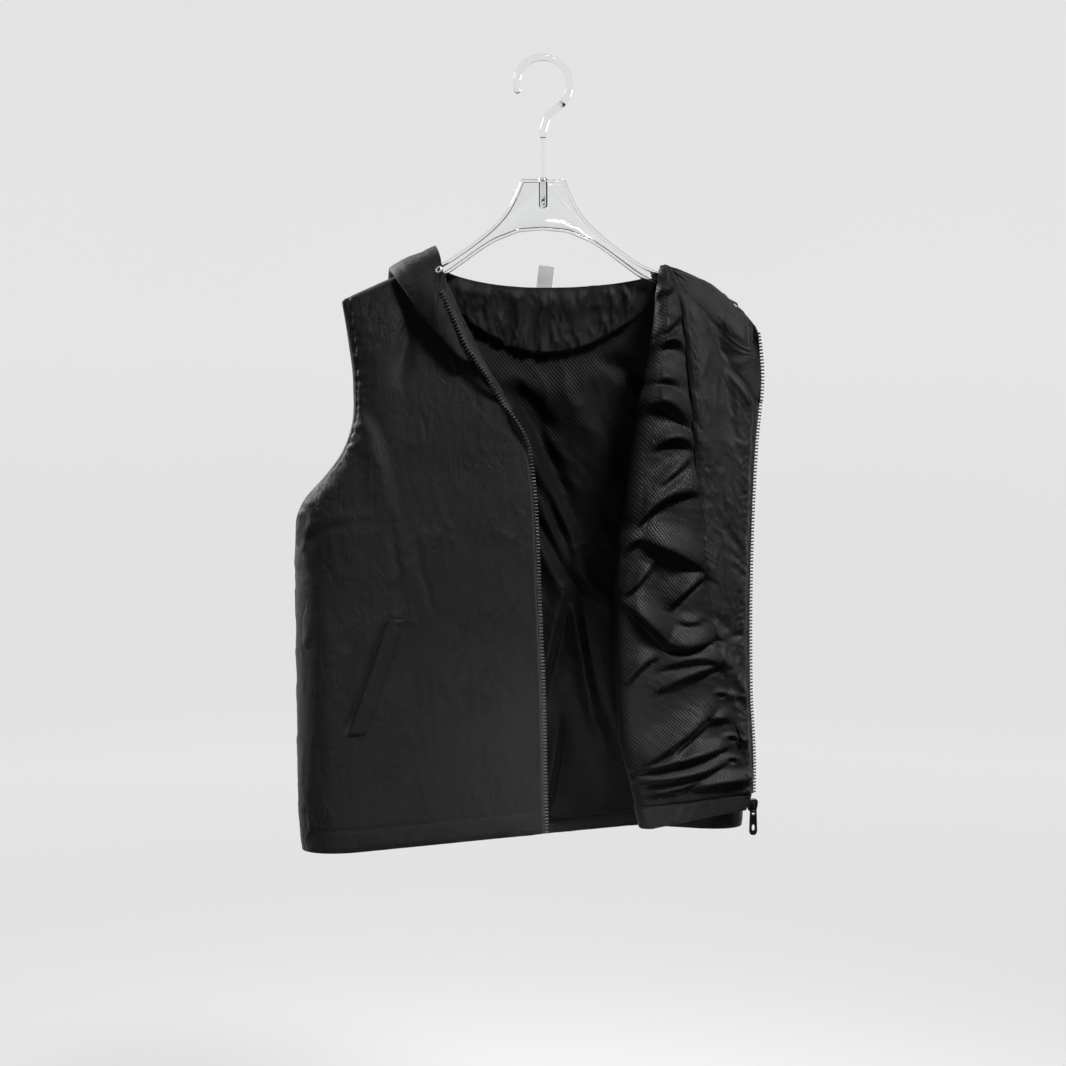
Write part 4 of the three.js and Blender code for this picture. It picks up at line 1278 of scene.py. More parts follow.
back_columns = np.concatenate([
    -outer_columns(RIGHT_NECK, 14, 20)[::-1],
    -arc_columns(RIGHT_NECK, 42)[:0:-1],
    arc_columns(LEFT_NECK, 46),
    outer_columns(LEFT_NECK, 12, 20),
])
back_rows = steps([0, BACK_HEM_SHARE, LOWER_SHOULDER, UPPER_SHOULDER, 1], [5, 130, 6, 3])
back_base = sheet(back_columns, back_rows, back, -1)


def back_lift(cloth):
    x, z = cloth.x, cloth.z
    fade = cloth.edge_fade(start=10, end=10, foot=6, top=30)
    soft = 2.0 * waves(x, z, BACK_WAVES)
    fine = 3.2 * crinkle(x, z, 41)
    wide = 2.5 * swell(x / 80, z / 210, 42)
    from_arm = from_armhole(cloth, np.minimum(cloth.across, cloth.from_end))
    groove = stitched(cloth.up - HEM_TURN, 1.6, 0.5) + stitched(from_arm - EDGE_STITCH, 1.4, 0.4)
    return np.maximum(0, 0.7 + (soft + fine + wide + hem_pucker(cloth, 43)) * fade + groove)


back_cloth = back_base.moved(back_lift(back_base))
back_panel = keep(wall("back", back_cloth, 0, SHELL, [nylon]), "shell_nylon", "back_panel")
back_seams = stitches("back_stitches", [
    inset_run(back_cloth, "foot", HEM_TURN, -0.99, 0.99),
    inset_run(back_cloth, "start", EDGE_STITCH, ARMPIT_SHARE + 0.02, 0.985),
    inset_run(back_cloth, "end", EDGE_STITCH, ARMPIT_SHARE + 0.02, 0.985),
])


# Inside of the back: mesh lining, nylon facing at the neck and the turned hem

lining_columns = np.linspace(-0.985, 0.985, 180)
lining_base = sheet(lining_columns, steps([BACK_HEM_SHARE, 0.985], [220]), back, -1)


def facing_foot(x):
    """Share of the back's height at the foot of the neck facing."""
    return np.minimum(FACING_SHARE + 0.0037 * (x - 8) ** 2 / BACK_LENGTH, 0.975)


def back_lining_lift(cloth):
    x, z = cloth.x, cloth.z
    fade = cloth.edge_fade(start=24, end=24, foot=10, top=12)
    below = cloth.vs[None, :] - facing_foot(x)
    fade *= 1 - 0.75 * ramp(below, -0.07, 0) - 0.25 * ramp(below, 0, 0.03)
    wide = 3.0 * noise(x / 60, z / 150, 51)
    fine = 1.6 * ridged((x + 0.6 * z) / 26, (z - 0.4 * x) / 60, 52, 3)
    return np.maximum(0, 10 + 1.3 * waves(x, z, BACK_FOLDS) + wide + fine) * fade


lining_lift = back_lining_lift(lining_base)
# Its mesh is painted darker than the flap's lining: painted shade for the dim inside of the vest.
back_lining = inside_wall("back_lining_cloth", lining_base, LINING_IN, lining_lift, LINER, back_mesh_painted_shade)
keep(back_lining, "mesh_lining", "back_lining")


def facing_place(u, t):
    """The facing's foot is an arc that rises towards both shoulders."""
    x = back(u, FACING_SHARE + 0 * u)[..., 0]
    return back(u, mix(facing_foot(x), FACING_TOP, t))


def neck_facing_lift(cloth):
    x, z = cloth.x, cloth.z
    fade = cloth.edge_fade(start=30, end=30, foot=4, top=14)
    sway = 5 * noise(x / 30, z / 30, 60)
    gather = 5.6 * ridged((x + sway) / 15, z / 75, 61, 2.4)
    gather += 2.0 * ridged((x - sway) / 7, z / 26, 62, 3)
    return gather * fade + 4.5 * (1 - cloth.vs[None, :])


facing_base = sheet(np.linspace(-0.52, 0.58, 120), np.linspace(0, 1, 40), facing_place, -1)
facing_lift = neck_facing_lift(facing_base)
neck_facing = inside_wall("neck_facing", facing_base, FACING_IN, facing_lift, FACING, nylon)
keep(neck_facing, "shell_nylon", "back_neck_facing")

turn_base = sheet(lining_columns, steps([0.0025, BACK_HEM_SHARE + 0.004], [8]), back, -1)
hem_wave = 0.8 * swell(turn_base.x / 9, turn_base.z / 20, 66)
hem_turn = inside_wall("back_hem_turned", turn_base, FACING_IN, hem_wave, FACING, nylon)
keep(hem_turn, "shell_nylon", "back_hem_turn")

facing_edge = facing_base.offset(-(FACING_IN + FACING + STITCH_CLEAR + facing_lift))
p, n = back_base.at(np.linspace(-0.96, 0.96, 200), np.full(200, BACK_HEM_SHARE - 0.002))
facing_seams = stitches("lining_stitches", [
    (facing_edge[4:-4, 1], -facing_base.N[4:-4, 1]),
    (p - n * (FACING_IN + 1.3), -n),
])


# Left front, turned back on itself

left_columns = steps([0, LEFT_ROUND, LEFT_FOLD, LEFT_TURNED, FACING_START, 1], [14, 16, 14, 30, 24])
left_rows = steps([0, HEM_SHARE, LOWER_SHOULDER, UPPER_SHOULDER, 1], [8, 150, 6, 3])
left_base = sheet(left_columns, left_rows, left_front, -1)


def left_lift(cloth):
    u = cloth.us[:, None]
    fade = cloth.edge_fade(start=10, end=10, foot=8, top=24)
    calm = np.where((u > LEFT_ROUND) & (u < LEFT_TURNED), 0.5, 1.0)
    return 0.5 + 1.2 * crinkle(cloth.x, cloth.z, 71) * fade * calm


left_cloth = left_base.moved(left_lift(left_base))
left_panel = wall("left_front", left_cloth, 0, SHELL, [nylon, lining_cloth], 1)
keep(left_panel, "shell_nylon", "left_front_panel")


# Lining of the turned-back front: the folds in it are the main thing to see

FLAP_EDGE = LEFT_FOLD + 0.012
flap_columns = steps([FLAP_EDGE, LEFT_TURNED, FACING_START + 0.01], [18, 72])
flap_base = sheet(flap_columns, steps([HEM_SHARE - 0.003, 0.998], [300]), left_front, -1)


def flap_height(cloth):
    x, z = cloth.x, cloth.z
    out = ramp(cloth.us[:, None], LEFT_TURNED - 0.07, LEFT_TURNED + 0.03)
    fade = cloth.edge_fade(foot=5, top=24) * out
    soft = 3.0 + 1.6 * rolls(x, z, FLAP_FOLDS) + 1.5 * puckers(x, z)
    wide = 1.6 * swell(x / 34, z / 46, 81)
    fine = 0.6 * ridged(x / 30, (x * 0.5 + z) / 12, 82, 3)
    return (soft + wide + fine) * fade


flap_lift = flap_height(flap_base)
flap_lining = inside_wall("left_front_mesh", flap_base, FLAP_IN, flap_lift, LINER, lining_cloth)
keep(flap_lining, "mesh_lining", "left_front_lining")

facing_left_columns = steps([FACING_START, 1], [40])
facing_left_base = sheet(facing_left_columns, steps([HEM_SHARE - 0.003, 1.004], [300]), left_front, -1)


def facing_left_height(cloth):
    x, z = cloth.x, cloth.z
    start = cloth.edge_fade(start=26)
    fade = cloth.edge_fade(end=6, foot=5, top=4)
    edge = flap_lift[-1][None, :] * (1 - start) * cloth.edge_fade(foot=4, top=8)
    folds = 1.4 * waves(x, z, FACING_FOLDS) + puckers(x, z)
    broad = (2.0 + 2.4 * swell(x / 26, z / 130, 91)) * start
    fine = 2.2 * crinkle(x, z, 92)
    gather = 2.2 * ridged(x / 13, (z - 0.5 * x) / 8, 93, 3) * near(cloth.from_end - 8, 11)
    share = cloth.across / cloth.across[-1:]
    bulge = 9 * share * ramp(z, -660, -520) * cloth.edge_fade(end=14, top=12)
    under = 2.6 * (1 - cloth.edge_fade(start=6))
    return 0.5 + edge + (broad + folds + fine + gather) * fade + bulge - under


facing_left_in = FLAP_IN + 0.3
facing_left_lift = facing_left_height(facing_left_base)
left_facing = inside_wall("left_front_facing_cloth", facing_left_base, facing_left_in, facing_left_lift,
                          FACING, nylon)
keep(left_facing, "shell_nylon", "left_front_facing")

turned_in = FLAP_IN + 0.9
turned_columns = steps([FLAP_EDGE, LEFT_TURNED, FACING_START, 1], [18, 66, 30])
turned_base = sheet(turned_columns, steps([0.002, HEM_SHARE + 0.002], [14]), left_front, -1)
turned_lift = 0.9 + 0.5 * noise(turned_base.x / 11, turned_base.z / 26, 96)
turned_lift += ridged(turned_base.x / 16, turned_base.z / 30, 97, 3)
turned_lift *= ramp(turned_base.us[:, None], LEFT_FOLD, LEFT_TURNED)
left_hem = inside_wall("left_front_hem", turned_base, turned_in, turned_lift, LINER, nylon)
keep(left_hem, "shell_nylon", "left_front_hem_turn")

facing_face = facing_left_base.offset(-(facing_left_in + FACING + STITCH_CLEAR + facing_left_lift))
turned_face = turned_base.offset(-(turned_in + LINER + STITCH_CLEAR + turned_lift))
column = int(np.argmin(np.abs(facing_left_base.across[:, 150] - 6)))
flap_seams = stitches("left_front_stitches", [
    (facing_face[column], -facing_left_base.N[column]),
    (turned_face[6:-3, -3], -turned_base.N[6:-3, -3]),
    (turned_face[6:-3, 3], -turned_base.N[6:-3, 3]),
])


# Hood: ribs that start on the neck seam

# Coarse grids like those of the solids, which the neck seam and the zips follow
solid_rows = steps(
    [0, HEM_SHARE, ARMPIT_SHARE, NECK_SHARE, LOWER_SHOULDER, UPPER_SHOULDER, 1],
    [1, 7, 5, 4, 2, 1],
)
NECK_ROW = 13
LAST_ROW = len(solid_rows) - 1
solid_right = sheet(steps([0, ROUND_PART, 1], [4, 7]), solid_rows, right_front, 1)
solid_left_columns = steps([0, LEFT_ROUND, LEFT_FOLD, LEFT_TURNED, FACING_START, 1], [4, 3, 4, 6, 3])
solid_left = sheet(solid_left_columns, solid_rows, left_front, -1)
FOLD_COLUMN = 7
turned_us = solid_left_columns[FOLD_COLUMN:]
neck_arc = np.sin(np.linspace(-np.pi / 2, np.pi / 2, 11))
neck_arc = np.where(neck_arc < 0, RIGHT_NECK, LEFT_NECK) / SHOULDER_TIP * neck_arc


def seam_run(panel, place, us, vs, us_in, vs_in):
    """Points on a panel's neck edge and the way up out of the panel there."""
    p = place(us, vs)
    rise = unit((p - place(us_in, vs_in)) * np.array([1.0, 0.0, 1.0]))
    faced = panel.at(us, vs)[1]
    over = SEAM_RISE * np.maximum(0, np.sum(faced * rise, axis=-1, keepdims=True))
    return p + rise * over, rise


def neck_seam(gap, right_v, back_u, left_u):
    """The whole neck seam from the right zip round to the left zip."""
    right_one, back_one, left_one = (np.ones_like(part) for part in (right_v, back_u, left_u))
    below = mix(LOWER_SHOULDER, UPPER_SHOULDER, 0.5)
    runs = [
        seam_run(right_base, right_front, right_one, right_v, right_one * solid_right.us[-2], right_v),
        seam_run(back_base, back, back_u, back_one, back_u, back_one * below),
        seam_run(left_base, left_front, left_u, left_one, left_u, left_one * LOWER_SHOULDER),
    ]
    points, rises = (np.concatenate(part) for part in zip(*runs))
    along = np.concatenate([
        np.interp(right_v, solid_rows[NECK_ROW:], np.linspace(0, 0.25, LAST_ROW - NECK_ROW + 1)),
        np.interp(back_u, neck_arc, np.linspace(0.25, 0.75, len(neck_arc))),
        np.interp(left_u, turned_us, np.linspace(0.75, 1, len(turned_us))),
    ])
    return points + rises * gap, rises, along


def rib_points(control, ts):
    """Points at shares ts of a smooth curve through control rows, one rib each."""
    count = control.shape[1]
    first = 2 * control[:, :1] - control[:, 1:2]
    last = 2 * control[:, -1:] - control[:, -2:-1]
    every = np.concatenate([first, control, last], axis=1)
    gaps = np.linalg.norm(np.diff(every, axis=1), axis=-1, keepdims=True) ** 0.5
    out = np.empty((control.shape[0], len(ts), 3))
    for n, t in enumerate(ts):
        place = t * (count - 1)
        k = min(int(place), count - 2)
        w = place - k
        p0, p1, p2, p3 = (every[:, k + s] for s in range(4))
        d0, d1, d2 = (gaps[:, k + s] for s in range(3))
        d1 = np.where(d1 < 1e-4, 1.0, d1)
        d0 = np.where(d0 < 1e-4, d1, d0)
        d2 = np.where(d2 < 1e-4, d1, d2)
        a = ((p1 - p0) / d0 - (p2 - p0) / (d0 + d1) + (p2 - p1) / d1) * d1
        b = ((p2 - p1) / d1 - (p3 - p1) / (d1 + d2) + (p3 - p2) / d2) * d1
        c2 = -3 * p1 + 3 * p2 - 2 * a - b
        c3 = 2 * p1 - 2 * p2 + a + b
        out[:, n] = p1 + a * w + c2 * w ** 2 + c3 * w ** 3
    return out


def hood_ribs(along, start, rise, ts):
    out = np.radians(hood_of["out"](along))
    way = np.stack([np.cos(out), np.sin(out), np.zeros_like(out)], -1)
    roll = hood_of["roll"](along)[:, None]
    low, hem = (np.stack([hood_of[end + c](along) for c in "xyz"], -1) for end in ("low_", "hem_"))
    crest = start + rise * roll + way * roll * 0.2
    over = start + rise * roll + way * roll * 1.4
    full = (ramp(along, 0.02, 0.14) - ramp(along, 0.74, 0.88))[:, None]
    belly = mix(low, hem, 0.35) + way * roll * 1.2 * full
    return rib_points(np.stack([start, crest, over, low, belly, hem], 1), ts)


def smoothed(values, reach):
    """Values evened out along their run."""
    weights = near(np.arange(-2 * reach, 2 * reach + 1), reach)
    weights /= weights.sum()
    padded = np.pad(values, ((2 * reach, 2 * reach), (0, 0)), mode="edge")
    return np.stack([np.convolve(padded[:, k], weights, "valid") for k in range(values.shape[1])], -1)


RIB_STATIONS = [0, 0.2, 0.4, 0.6, 0.8, 0.94, 1]
hood_starts, hood_rises, hood_along = neck_seam(
    -SEAM_GAP,
    np.linspace(NECK_SHARE, 1, 60),
    np.linspace(neck_arc[0], neck_arc[-1], 92)[2:-2],
    np.linspace(LEFT_FOLD, 1, 92),
)
hood_ts = steps(RIB_STATIONS, [5, 5, 34, 26, 14, 8])
hood_grid = hood_ribs(hood_along, hood_starts, unit(smoothed(hood_rises, 3)), hood_ts)
hood_base = Cloth(hood_along, hood_ts, hood_grid, -1)


def hood_lift(cloth):
    along = cloth.us[:, None]
    t = cloth.vs[None, :]
    s, h = cloth.across[:, :1] * np.ones_like(t), cloth.up
    fade = cloth.edge_fade(start=34, end=12, foot=12)
    fine = 1.7 * crinkle(s, h, 101) * fade
    soft = 2.2 * swell(s / 30, h / 90, 102) * fade
    hem = 0.5 * ramp(t, 0.925, 0.935)
    groove = stitched((t - HOOD_HEM) * 90, 1.4, 0.5) * ramp(t, 0.8, 0.9)
    seam = 1.6 * near(along - 0.5, 0.006) * ramp(t, 0.3, 0.45)
    bands = waves(cloth.x, cloth.z, FACING_FOLDS) * fade * ramp(along, 0.8, 0.86)
    level = 3.0 * ramp(along, 0.78, 0.86) * near(h, 18)
    return fine + soft + hem + groove + seam - bands - level


hood_cloth = hood_base.moved(hood_lift(hood_base))
hood_piece = keep(wall("hood_cloth", hood_cloth, 0, SHELL, [nylon]), "shell_nylon", "hood")
hood_row = int(np.argmin(np.abs(hood_ts - HOOD_HEM)))
hood_mid = int(np.argmin(np.abs(hood_along - 0.5)))
hood_face = hood_cloth.offset(SHELL)
hood_runs = []
for face, way in ((hood_face, 1), (hood_cloth.P, -1)):
    hood_runs.append((face[3:-3, hood_row], hood_cloth.N[3:-3, hood_row] * way))
for column in (hood_mid - 2, hood_mid + 2):
    hood_runs.append((hood_face[column, 30:-4], hood_cloth.N[column, 30:-4]))
hood_seams = stitches("hood_stitches", hood_runs)


# Zips: a woven tape with a row of moulded teeth along its edge

solid_ts = steps(RIB_STATIONS, [1, 1, 4, 3, 2, 1])
solid_starts, solid_rises, solid_along = neck_seam(
    SEAM_GAP, solid_rows[NECK_ROW:], neck_arc[1:-1], turned_us,
)
solid_ribs = hood_ribs(solid_along, solid_starts, solid_rises, solid_ts)
solid_hood = Cloth(solid_along, solid_ts, solid_ribs, -1)
HOOD_TOP = int(np.argmax(solid_ts >= ZIP_END_ON_RIB))


def lapel(j):
    """0 on the front, rising to 1 where the zip turns back at the neck."""
    return float(clamp((j - (NECK_ROW - 4)) / 4))


def zip_edges(cloth, column, inside, rows, turning=False):
    """Rows of the zip's base, its way out, its reach and the way off the cloth."""
    out = []
    for j in rows:
        point = cloth.P[column, j]
        away = unit(point - cloth.P[inside, j])
        face = cloth.N[column, j]
        turned = lapel(j) if turning else 0.0
        twist = math.radians(ZIP_TWIST * turned ** 2)
        way = away * math.cos(twist) + face * math.sin(twist)
        base = point + away * SEAM_GAP + face * mix(SHELL / 2, SHELL + 2.2, turned ** 2)
        out.append(np.concatenate([base, way, [mix(ZIP_REACH, ZIP_LAPEL_REACH, turned)], away]))
    return out


def lapel_edges(rows):
    """The same on the lapel, where the tape lies turned back over the hood."""
    points = solid_hood.P[0, rows]
    faced = unit(np.array(LAPEL_FACE))
    side = unit(np.cross(unit(np.gradient(points, axis=0)), faced))
    side *= -np.sign(side[:, :1])
    lean = math.radians(180 - ZIP_TWIST)
    base = points - side * SEAM_GAP + faced * (SHELL + ZIP_LAPEL_LIFT)
    way = side * math.cos(lean) + faced * math.sin(lean)
    reach = np.full((len(rows), 1), ZIP_LAPEL_REACH)
    return list(np.concatenate([base, way, reach, -side], axis=1))


right_zip_rows = zip_edges(solid_right, -1, -2, range(NECK_ROW + 1), turning=True)
right_zip_rows += lapel_edges(np.arange(4, HOOD_TOP + 1))
left_zip_rows = zip_edges(solid_left, -1, -2, range(1, LAST_ROW))
left_zip_rows += zip_edges(solid_hood, -1, -2, range(1, HOOD_TOP + 1))


def tooth_shape():
    """One tooth: a moulded block that grips the tape, with a rounded head."""
    turn = np.linspace(0, 2 * np.pi, TOOTH_SIDES, endpoint=False) + np.pi / TOOTH_SIDES
    x, z = (np.sign(w) * np.abs(w) ** 0.6 for w in (np.cos(turn), np.sin(turn)))
    shape = []
    for reach, long, high in zip(TOOTH["reach"], TOOTH["long"], TOOTH["high"]):
        section = [x * TOOTH_HALF_LONG * long, np.full(TOOTH_SIDES, reach), z * TOOTH_HALF_HIGH * high]
        shape.append(np.stack(section, -1))
    return np.concatenate(shape), ring_faces(len(shape), TOOTH_SIDES)


def make_zip(name, rows):
    rows = np.array(rows)
    fine = smooth_through(rows, np.linspace(0, len(rows) - 1, 30 * len(rows)))
    base, way, reach, out = fine[:, :3], unit(fine[:, 3:6]), fine[:, 6:7], unit(fine[:, 7:10])
    run = run_lengths(base)
    even = np.linspace(0, run[-1], int(run[-1] / TAPE_STEP) + 1)
    b, w, o, r = (read_off(even, run, values) for values in (base, way, out, reach))
    w, o = unit(w), unit(o)
    inner = [b - o * under for under in TAPE_UNDER]
    outer = [b + w * ((r - TOOTH_WIDE * TOOTH_GRIP) * share) for share in TAPE_SHARES]
    grid = np.stack(inner + outer)
    tape = Cloth(np.linspace(0, 1, len(grid)), even / run[-1], grid, 1)
    keep(wall(name + "_tape", tape, -TAPE_HALF, TAPE_HALF, [tape_cloth]), "zip_teeth", name)
    (p, w), along = spaced(base + way * (reach - TOOTH_WIDE), [way], TOOTH_PITCH)
    w = unit(w - along * np.sum(w * along, axis=1, keepdims=True))
    places = (p, along, w, unit(np.cross(along, w)))
    keep(copies(name + "_teeth", *tooth_shape(), places, tooth_plastic), "zip_teeth")


make_zip("right_zip", right_zip_rows)
make_zip("left_zip", left_zip_rows)


# Slider and pull at the foot of the left zip

def rounded_plate(name, outline, half, rim, material, holes=()):
    """A flat plate in the XZ plane with rounded edges."""
    curve = bpy.data.curves.new(name, "CURVE")
    curve.dimensions = "2D"
    curve.fill_mode = "BOTH"
    curve.extrude = (half - rim) * MM
    curve.bevel_depth = rim * MM
    curve.bevel_resolution = 3
    for loop in (outline, *holes):
        spline = curve.splines.new("POLY")
        spline.points.add(len(loop) - 1)
        for point, (x, z) in zip(spline.points, loop):
            point.co = (x * MM, z * MM, 0, 1)
        spline.use_cyclic_u = True
    shape = link(bpy.data.objects.new(name, curve))
    shape.rotation_euler = (math.pi / 2, 0, 0)
    bpy.context.view_layer.update()
    made = bpy.data.meshes.new_from_object(shape.evaluated_get(bpy.context.evaluated_depsgraph_get()))
    made.transform(shape.matrix_world)
    bpy.data.objects.remove(shape)
    made.polygons.foreach_set("use_smooth", np.ones(len(made.polygons), bool))
    made.materials.clear()
    made.materials.append(material)
    return link(bpy.data.objects.new(name, made))


def round_corners(outline, radius):
    """A polygon with its corners rounded."""
    corners = [np.array(p, float) for p in outline]
    out = []
    for before, p, after in zip(corners[-1:] + corners[:-1], corners, corners[1:] + corners[:1]):
        a, b = before - p, after - p
        cut = min(radius, 0.45 * np.linalg.norm(a), 0.45 * np.linalg.norm(b))
        start, end = p + unit(a) * cut, p + unit(b) * cut
        for t in np.linspace(0, 1, 5):
            out.append(tuple((1 - t) ** 2 * start + 2 * t * (1 - t) * p + t ** 2 * end))
    return out


def merged(name, objects, material):
    """Several meshes made into one object."""
    points, faces, start = [], [], 0
    for obj in objects:
        co = np.empty(len(obj.data.vertices) * 3)
        obj.data.vertices.foreach_get("co", co)
        points.append(co.reshape(-1, 3) / MM)
        faces += [[start + i for i in polygon.vertices] for polygon in obj.data.polygons]
        start += len(obj.data.vertices)
        bpy.data.objects.remove(obj)
    return mesh_object(name, np.concatenate(points), faces, [material])


def shifted(obj, x, y, z):
    obj.data.transform(Matrix.Translation((x * MM, y * MM, z * MM)))
    return obj


def node_box(node):
    """A solid's low corner, high corner and middle, in millimetres."""
    low, high = (np.array(corner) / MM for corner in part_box(node))
    return low, high, (low + high) / 2


low, high, middle = node_box("zip_slider")
plate = round_corners(SLIDER_PLATE, 2.2)
slider_parts = []
for name, y in (("slider_front", -PLATE_OFF), ("slider_rear", PLATE_OFF)):
    slider_parts.append(shifted(rounded_plate(name, plate, PLATE_HALF, PLATE_RIM, slider_metal), 0, y, 0))
post = rounded_plate("slider_post", round_corners(SLIDER_POST, 0.6), 2.4, 0.2, slider_metal)
bridge = tube("slider_bridge", [(0, y, z) for y, z in SLIDER_BRIDGE], 0.75, 10, slider_metal, (1.0, 0, 0))
slider = merged("zip_slider_body", slider_parts + [post, bridge], slider_metal)
keep(shifted(slider, middle[0], high[1] - 3.6, low[2] + 7), "zip_metal", "zip_slider")

low, high, middle = node_box("zip_pull")
half_x, half_z = PULL_HOLE_HALF
pull_turn = np.linspace(0, 2 * math.pi, 29)[:-1]
pull_hole = [(half_x * math.cos(a), PULL_HOLE_Z + half_z * math.sin(a)) for a in pull_turn]
pull_holes = [round_corners(PULL_SLOT, 0.9), pull_hole]
pull = rounded_plate("zip_pull_tab", round_corners(PULL_TAB, 1.6), 0.8, 0.35, slider_metal, pull_holes)
keep(shifted(pull, middle[0], middle[1], high[2]), "zip_metal", "zip_pull")


# Eyelets in the hood's hem

for node in ("hood_eyelet_right", "hood_eyelet_left"):
    away = np.linalg.norm(hood_cloth.P - node_box(node)[2], axis=-1)
    away[:, :hood_row] = np.inf
    i, j = np.unravel_index(int(np.argmin(away)), away.shape)
    axis = hood_cloth.N[i, j]
    ring = lathe(node + "_ring", EYELET, hood_cloth.P[i, j] + axis * EYELET_LIFT, axis, 28, eyelet_metal)
    keep(ring, "eyelet_metal", node)


# Blank label sewn into the back neck

middle = node_box("neck_label")[2]
label_s, label_t = np.linspace(-1, 1, 17), np.linspace(-1, 1, 25)
LS, LT = np.meshgrid(label_s, label_t, indexing="ij")
label_x, label_z = LABEL_HALF_WIDE * LS, LABEL_HALF_LONG * LT
label_points = np.stack([
    middle[0] + label_x * math.cos(LABEL_LEAN) + label_z * math.sin(LABEL_LEAN),
    middle[1] - 0.4 - 0.6 * np.sin(LT * 2.2) + 0.3 * LS ** 2,
    middle[2] - label_x * math.sin(LABEL_LEAN) + label_z * math.cos(LABEL_LEAN),
], -1)
label = wall("neck_label_cloth", Cloth(label_s, label_t, label_points, 1), -0.25, 0.25, [label_satin])
keep(label, "label_cloth", "neck_label")


# Hanger: a clear plate with a raised rim, and a ring hook

def smooth_outline(xs, zs, count):
    """Even points on a smooth line through corners given by xs and zs."""
    return smooth_through(np.stack([xs, zs], -1), np.linspace(0, len(xs) - 1, count))


def hanger_loop():
    x, top, foot = HANGER_EDGE["x"], HANGER_EDGE["top"], HANGER_EDGE["foot"]
    upper = np.concatenate([[[0, top[0]], [23, top[0]]], smooth_outline(x[1:], top[1:], 60)[1:]])
    right = np.concatenate([upper, smooth_outline(x, foot, 70)[::-1]])
    left = right[1:-1][::-1] * np.array([-1, 1])
    return np.concatenate([right, left])


def moved_in(loop, inset):
    """A closed outline moved inwards."""
    before = loop - np.roll(loop, 1, axis=0)
    after = np.roll(loop, -1, axis=0) - loop
    n1, n2 = (unit(np.stack([w[:, 1], -w[:, 0]], -1)) for w in (before, after))
    middle = unit(n1 + n2)
    return loop + middle * inset / np.maximum(0.6, np.sum(middle * n2, axis=1, keepdims=True))


def hanger_plate():
    """Rings from the front of the web over the rim to the rear of the web."""
    loop = hanger_loop()
    face = -HANGER_HALF
    sections = [
        (RIM_WIDE + 0.5, -WEB_HALF),
        (RIM_WIDE, face + RIM_ROUND),
        (RIM_WIDE - RIM_ROUND, face),
        (RIM_ROUND, face),
        (RIM_ROUND * 0.3, face + RIM_ROUND * 0.3),
        (0.0, face + RIM_ROUND),
    ]
    sections += [(inset, -y) for inset, y in reversed(sections)]
    points = [np.insert(moved_in(loop, inset), 1, y, axis=1) for inset, y in sections]
    faces = ring_faces(len(sections), len(loop))
    return mesh_object("hanger_plate", np.concatenate(points), faces, [acrylic])


hanger = hanger_plate()
boss = lathe("hanger_boss", BOSS, np.array([0, 0, BOSS_TOP]), (0, 0, 1), 32, acrylic)
keep(boss, "clear_plastic")
keep(hanger, "clear_plastic", "hanger_body")

ring_turn = np.radians(np.linspace(*HOOK_TURN, 64)[:-3])
ring_rows = np.stack([
    HOOK_RING * np.cos(ring_turn),
    0 * ring_turn,
    HOOK_THICK - HOOK_RING + HOOK_RING * np.sin(ring_turn),
    np.full(len(ring_turn), HOOK_THICK),
], -1)
ring_rows[0, 3] *= 0.8
down_rows = np.stack([HOOK_DOWN["x"], 0 * HOOK_DOWN["x"], HOOK_DOWN["z"], HOOK_DOWN["r"]], -1)
hook_rows = np.concatenate([ring_rows, down_rows])
hook_marks = np.concatenate([np.arange(58), np.linspace(58, len(hook_rows) - 1, 60)])
hook_path = smooth_through(hook_rows[:, :3], hook_marks)
hook_radii = np.interp(hook_marks, np.arange(len(hook_rows)), hook_rows[:, 3])
keep(tube("hanger_ring_hook", hook_path, hook_radii, 24, acrylic), "clear_plastic", "hanger_hook")


# Cloth as cut, before it was sewn and hung: sizes given for each piece, which cut() does not use

def cut(obj, wide, long, area, held, *with_pieces):
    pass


cut(right_panel, 0.31, 0.65, 0.165, "hung", right_seams, welt_piece, welt_seams)
cut(back_panel, 0.58, 0.66, 0.345, "hung", back_seams)
cut(back_lining, 0.57, 0.60, 0.315, "hung", facing_seams)
cut(neck_facing, 0.27, 0.08, 0.0138, "hung")
cut(hem_turn, 0.55, 0.015, 0.0082, "hung")
cut(left_panel, 0.34, 0.65, 0.185, "folded", flap_seams)
cut(flap_lining, 0.19, 0.61, 0.072, "folded")
cut(left_facing, 0.11, 0.60, 0.03, "folded")
cut(left_hem, 0.17, 0.026, 0.0042, "folded")
cut(hood_piece, 0.72, 0.40, 0.2, "hung", hood_seams)
cut(label, 0.018, 0.031, 0.00053, "hung")


# Floor and backdrop: a pale bowl round the object. Only its rear part throws light.

def pale_floor():
    f = Finish("pale_floor")
    cloud = f.noise(f.place, 0.7)
    glow = f.span(f.parts(f.place)[2], FLOOR_Z, -0.2, 0.66, 0.7)
    f.give(f.shader, {"Emission Color": (1, 1, 1, 1), "Emission Strength": glow})
    return f.shade(f.colours(cloud, (0.3, grey(0.2)), (0.7, grey(0.22))), 0.9)


def bowl_part(name, start, end, material):
    """The floor and wall between two directions, in degrees from the rear."""
    bend = np.radians(np.linspace(0, 90, 13))
    out = np.concatenate([[0.0], BOWL_WIDE - BOWL_BEND * (1 - np.sin(bend)), [BOWL_WIDE]])
    high = np.concatenate([[FLOOR_Z], FLOOR_Z + BOWL_BEND * (1 - np.cos(bend)), [BOWL_TOP]])
    turn = np.radians(np.linspace(start, end, 49))[:, None]
    points = np.stack([out * np.sin(turn), out * np.cos(turn), high + 0 * turn], -1) / MM
    index = np.arange(len(turn) * len(out)).reshape(len(turn), len(out))
    part = mesh_object(name, points.reshape(-1, 3), grid_faces(index), [material])
    return part


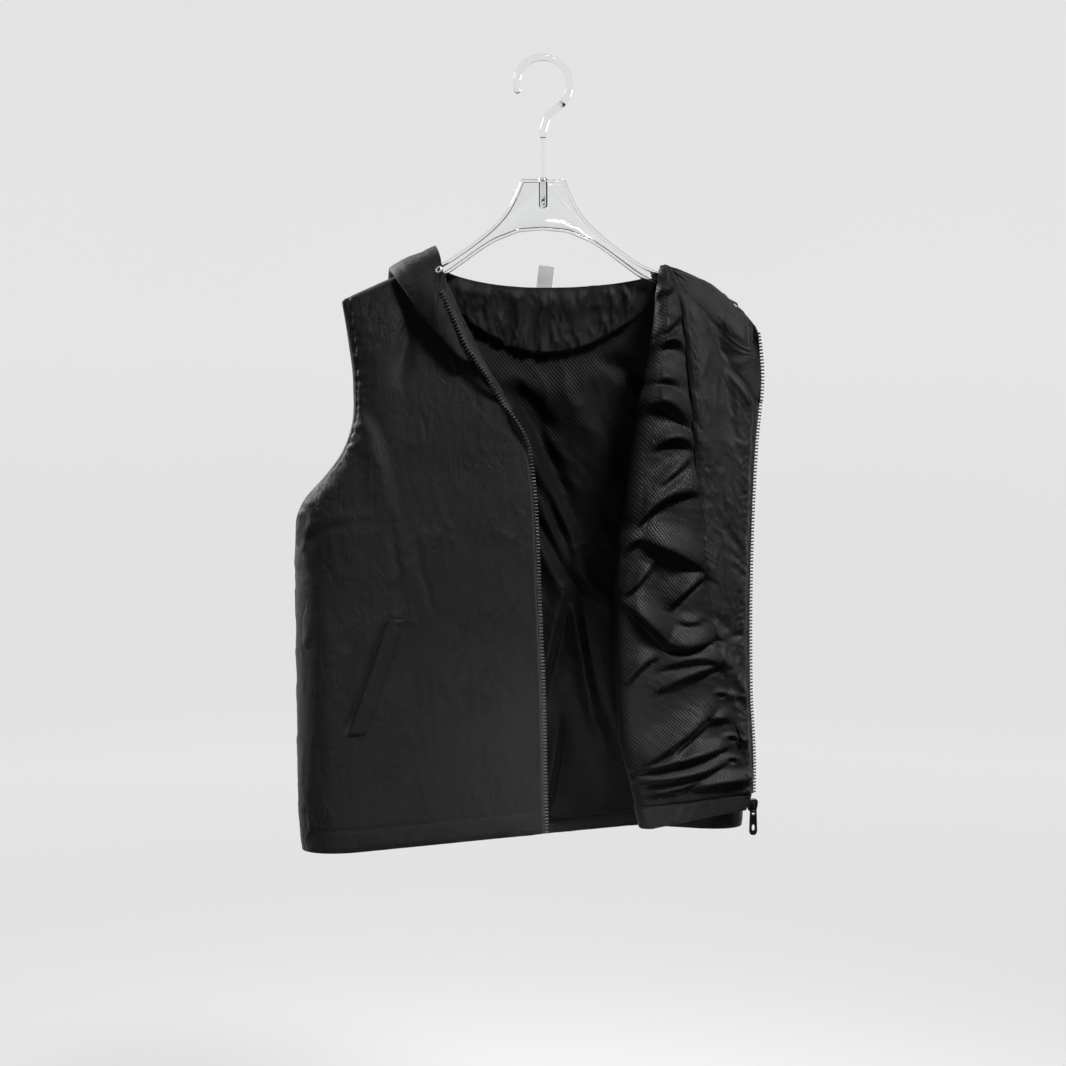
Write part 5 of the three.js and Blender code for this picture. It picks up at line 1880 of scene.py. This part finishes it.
floor_finish = pale_floor()
bowl_part("studio_rear", -REAR_HALF, REAR_HALF, floor_finish)
studio_front = bowl_part("studio_front", REAR_HALF, 360 - REAR_HALF, floor_finish)
studio_front.visible_diffuse = False
studio_front.visible_glossy = False

world = bpy.data.worlds.new("studio")
world.use_nodes = True
world.node_tree.nodes["Background"].inputs["Color"].default_value = (1, 1, 1, 1)
world.node_tree.nodes["Background"].inputs["Strength"].default_value = 0.03
bpy.context.scene.world = world


def softbox(name, place, aim, wide, high, power, spread=180):
    """A rectangular soft light: place, aim and size in metres, power in watts."""
    light = bpy.data.lights.new(name, "AREA")
    light.shape = "RECTANGLE"
    light.size = wide
    light.size_y = high
    light.energy = power
    light.spread = math.radians(spread)
    obj = link(bpy.data.objects.new(name, light))
    obj.location = place
    obj.rotation_euler = (Vector(aim) - Vector(place)).to_track_quat("-Z", "Y").to_euler()


softbox("key", (1.4, -2.3, 2.7), (0, 0, -1.3), 1.2, 0.8, 8, 26)
softbox("fill", (-0.9, -3.0, 0.1), (0, 0, -0.5), 1.4, 1.4, 2)
softbox("low fill", (-0.55, -0.75, -1.02), (-0.05, 0, -0.8), 0.4, 0.2, 0.9)
softbox("inside fill", (-0.05, -1.3, -1.2), (0.05, 0.035, -0.73), 0.15, 0.1, 0.06, 16)
softbox("rear", (-2.4, 2.1, 1.2), (0, 0, -0.7), 1.0, 0.8, 6, 28)
softbox("wall", (0, 0.9, 2.4), (0, 1.9, -0.3), 3.0, 0.5, 4)

az, el = math.radians(CAMERA_AZIMUTH), math.radians(CAMERA_HEIGHT)
away = Vector((math.sin(az) * math.cos(el), -math.cos(az) * math.cos(el), math.sin(el)))
lens = bpy.data.cameras.new("camera")
lens.sensor_width = 36
lens.lens = lens.sensor_width * CAMERA_AWAY / VIEW_WIDE
camera = link(bpy.data.objects.new("camera", lens))
camera.location = Vector(CAMERA_TARGET) + away * CAMERA_AWAY
camera.rotation_euler = (-away).to_track_quat("-Z", "Y").to_euler()
bpy.context.scene.camera = camera
bpy.context.scene.view_settings.view_transform = "Standard"
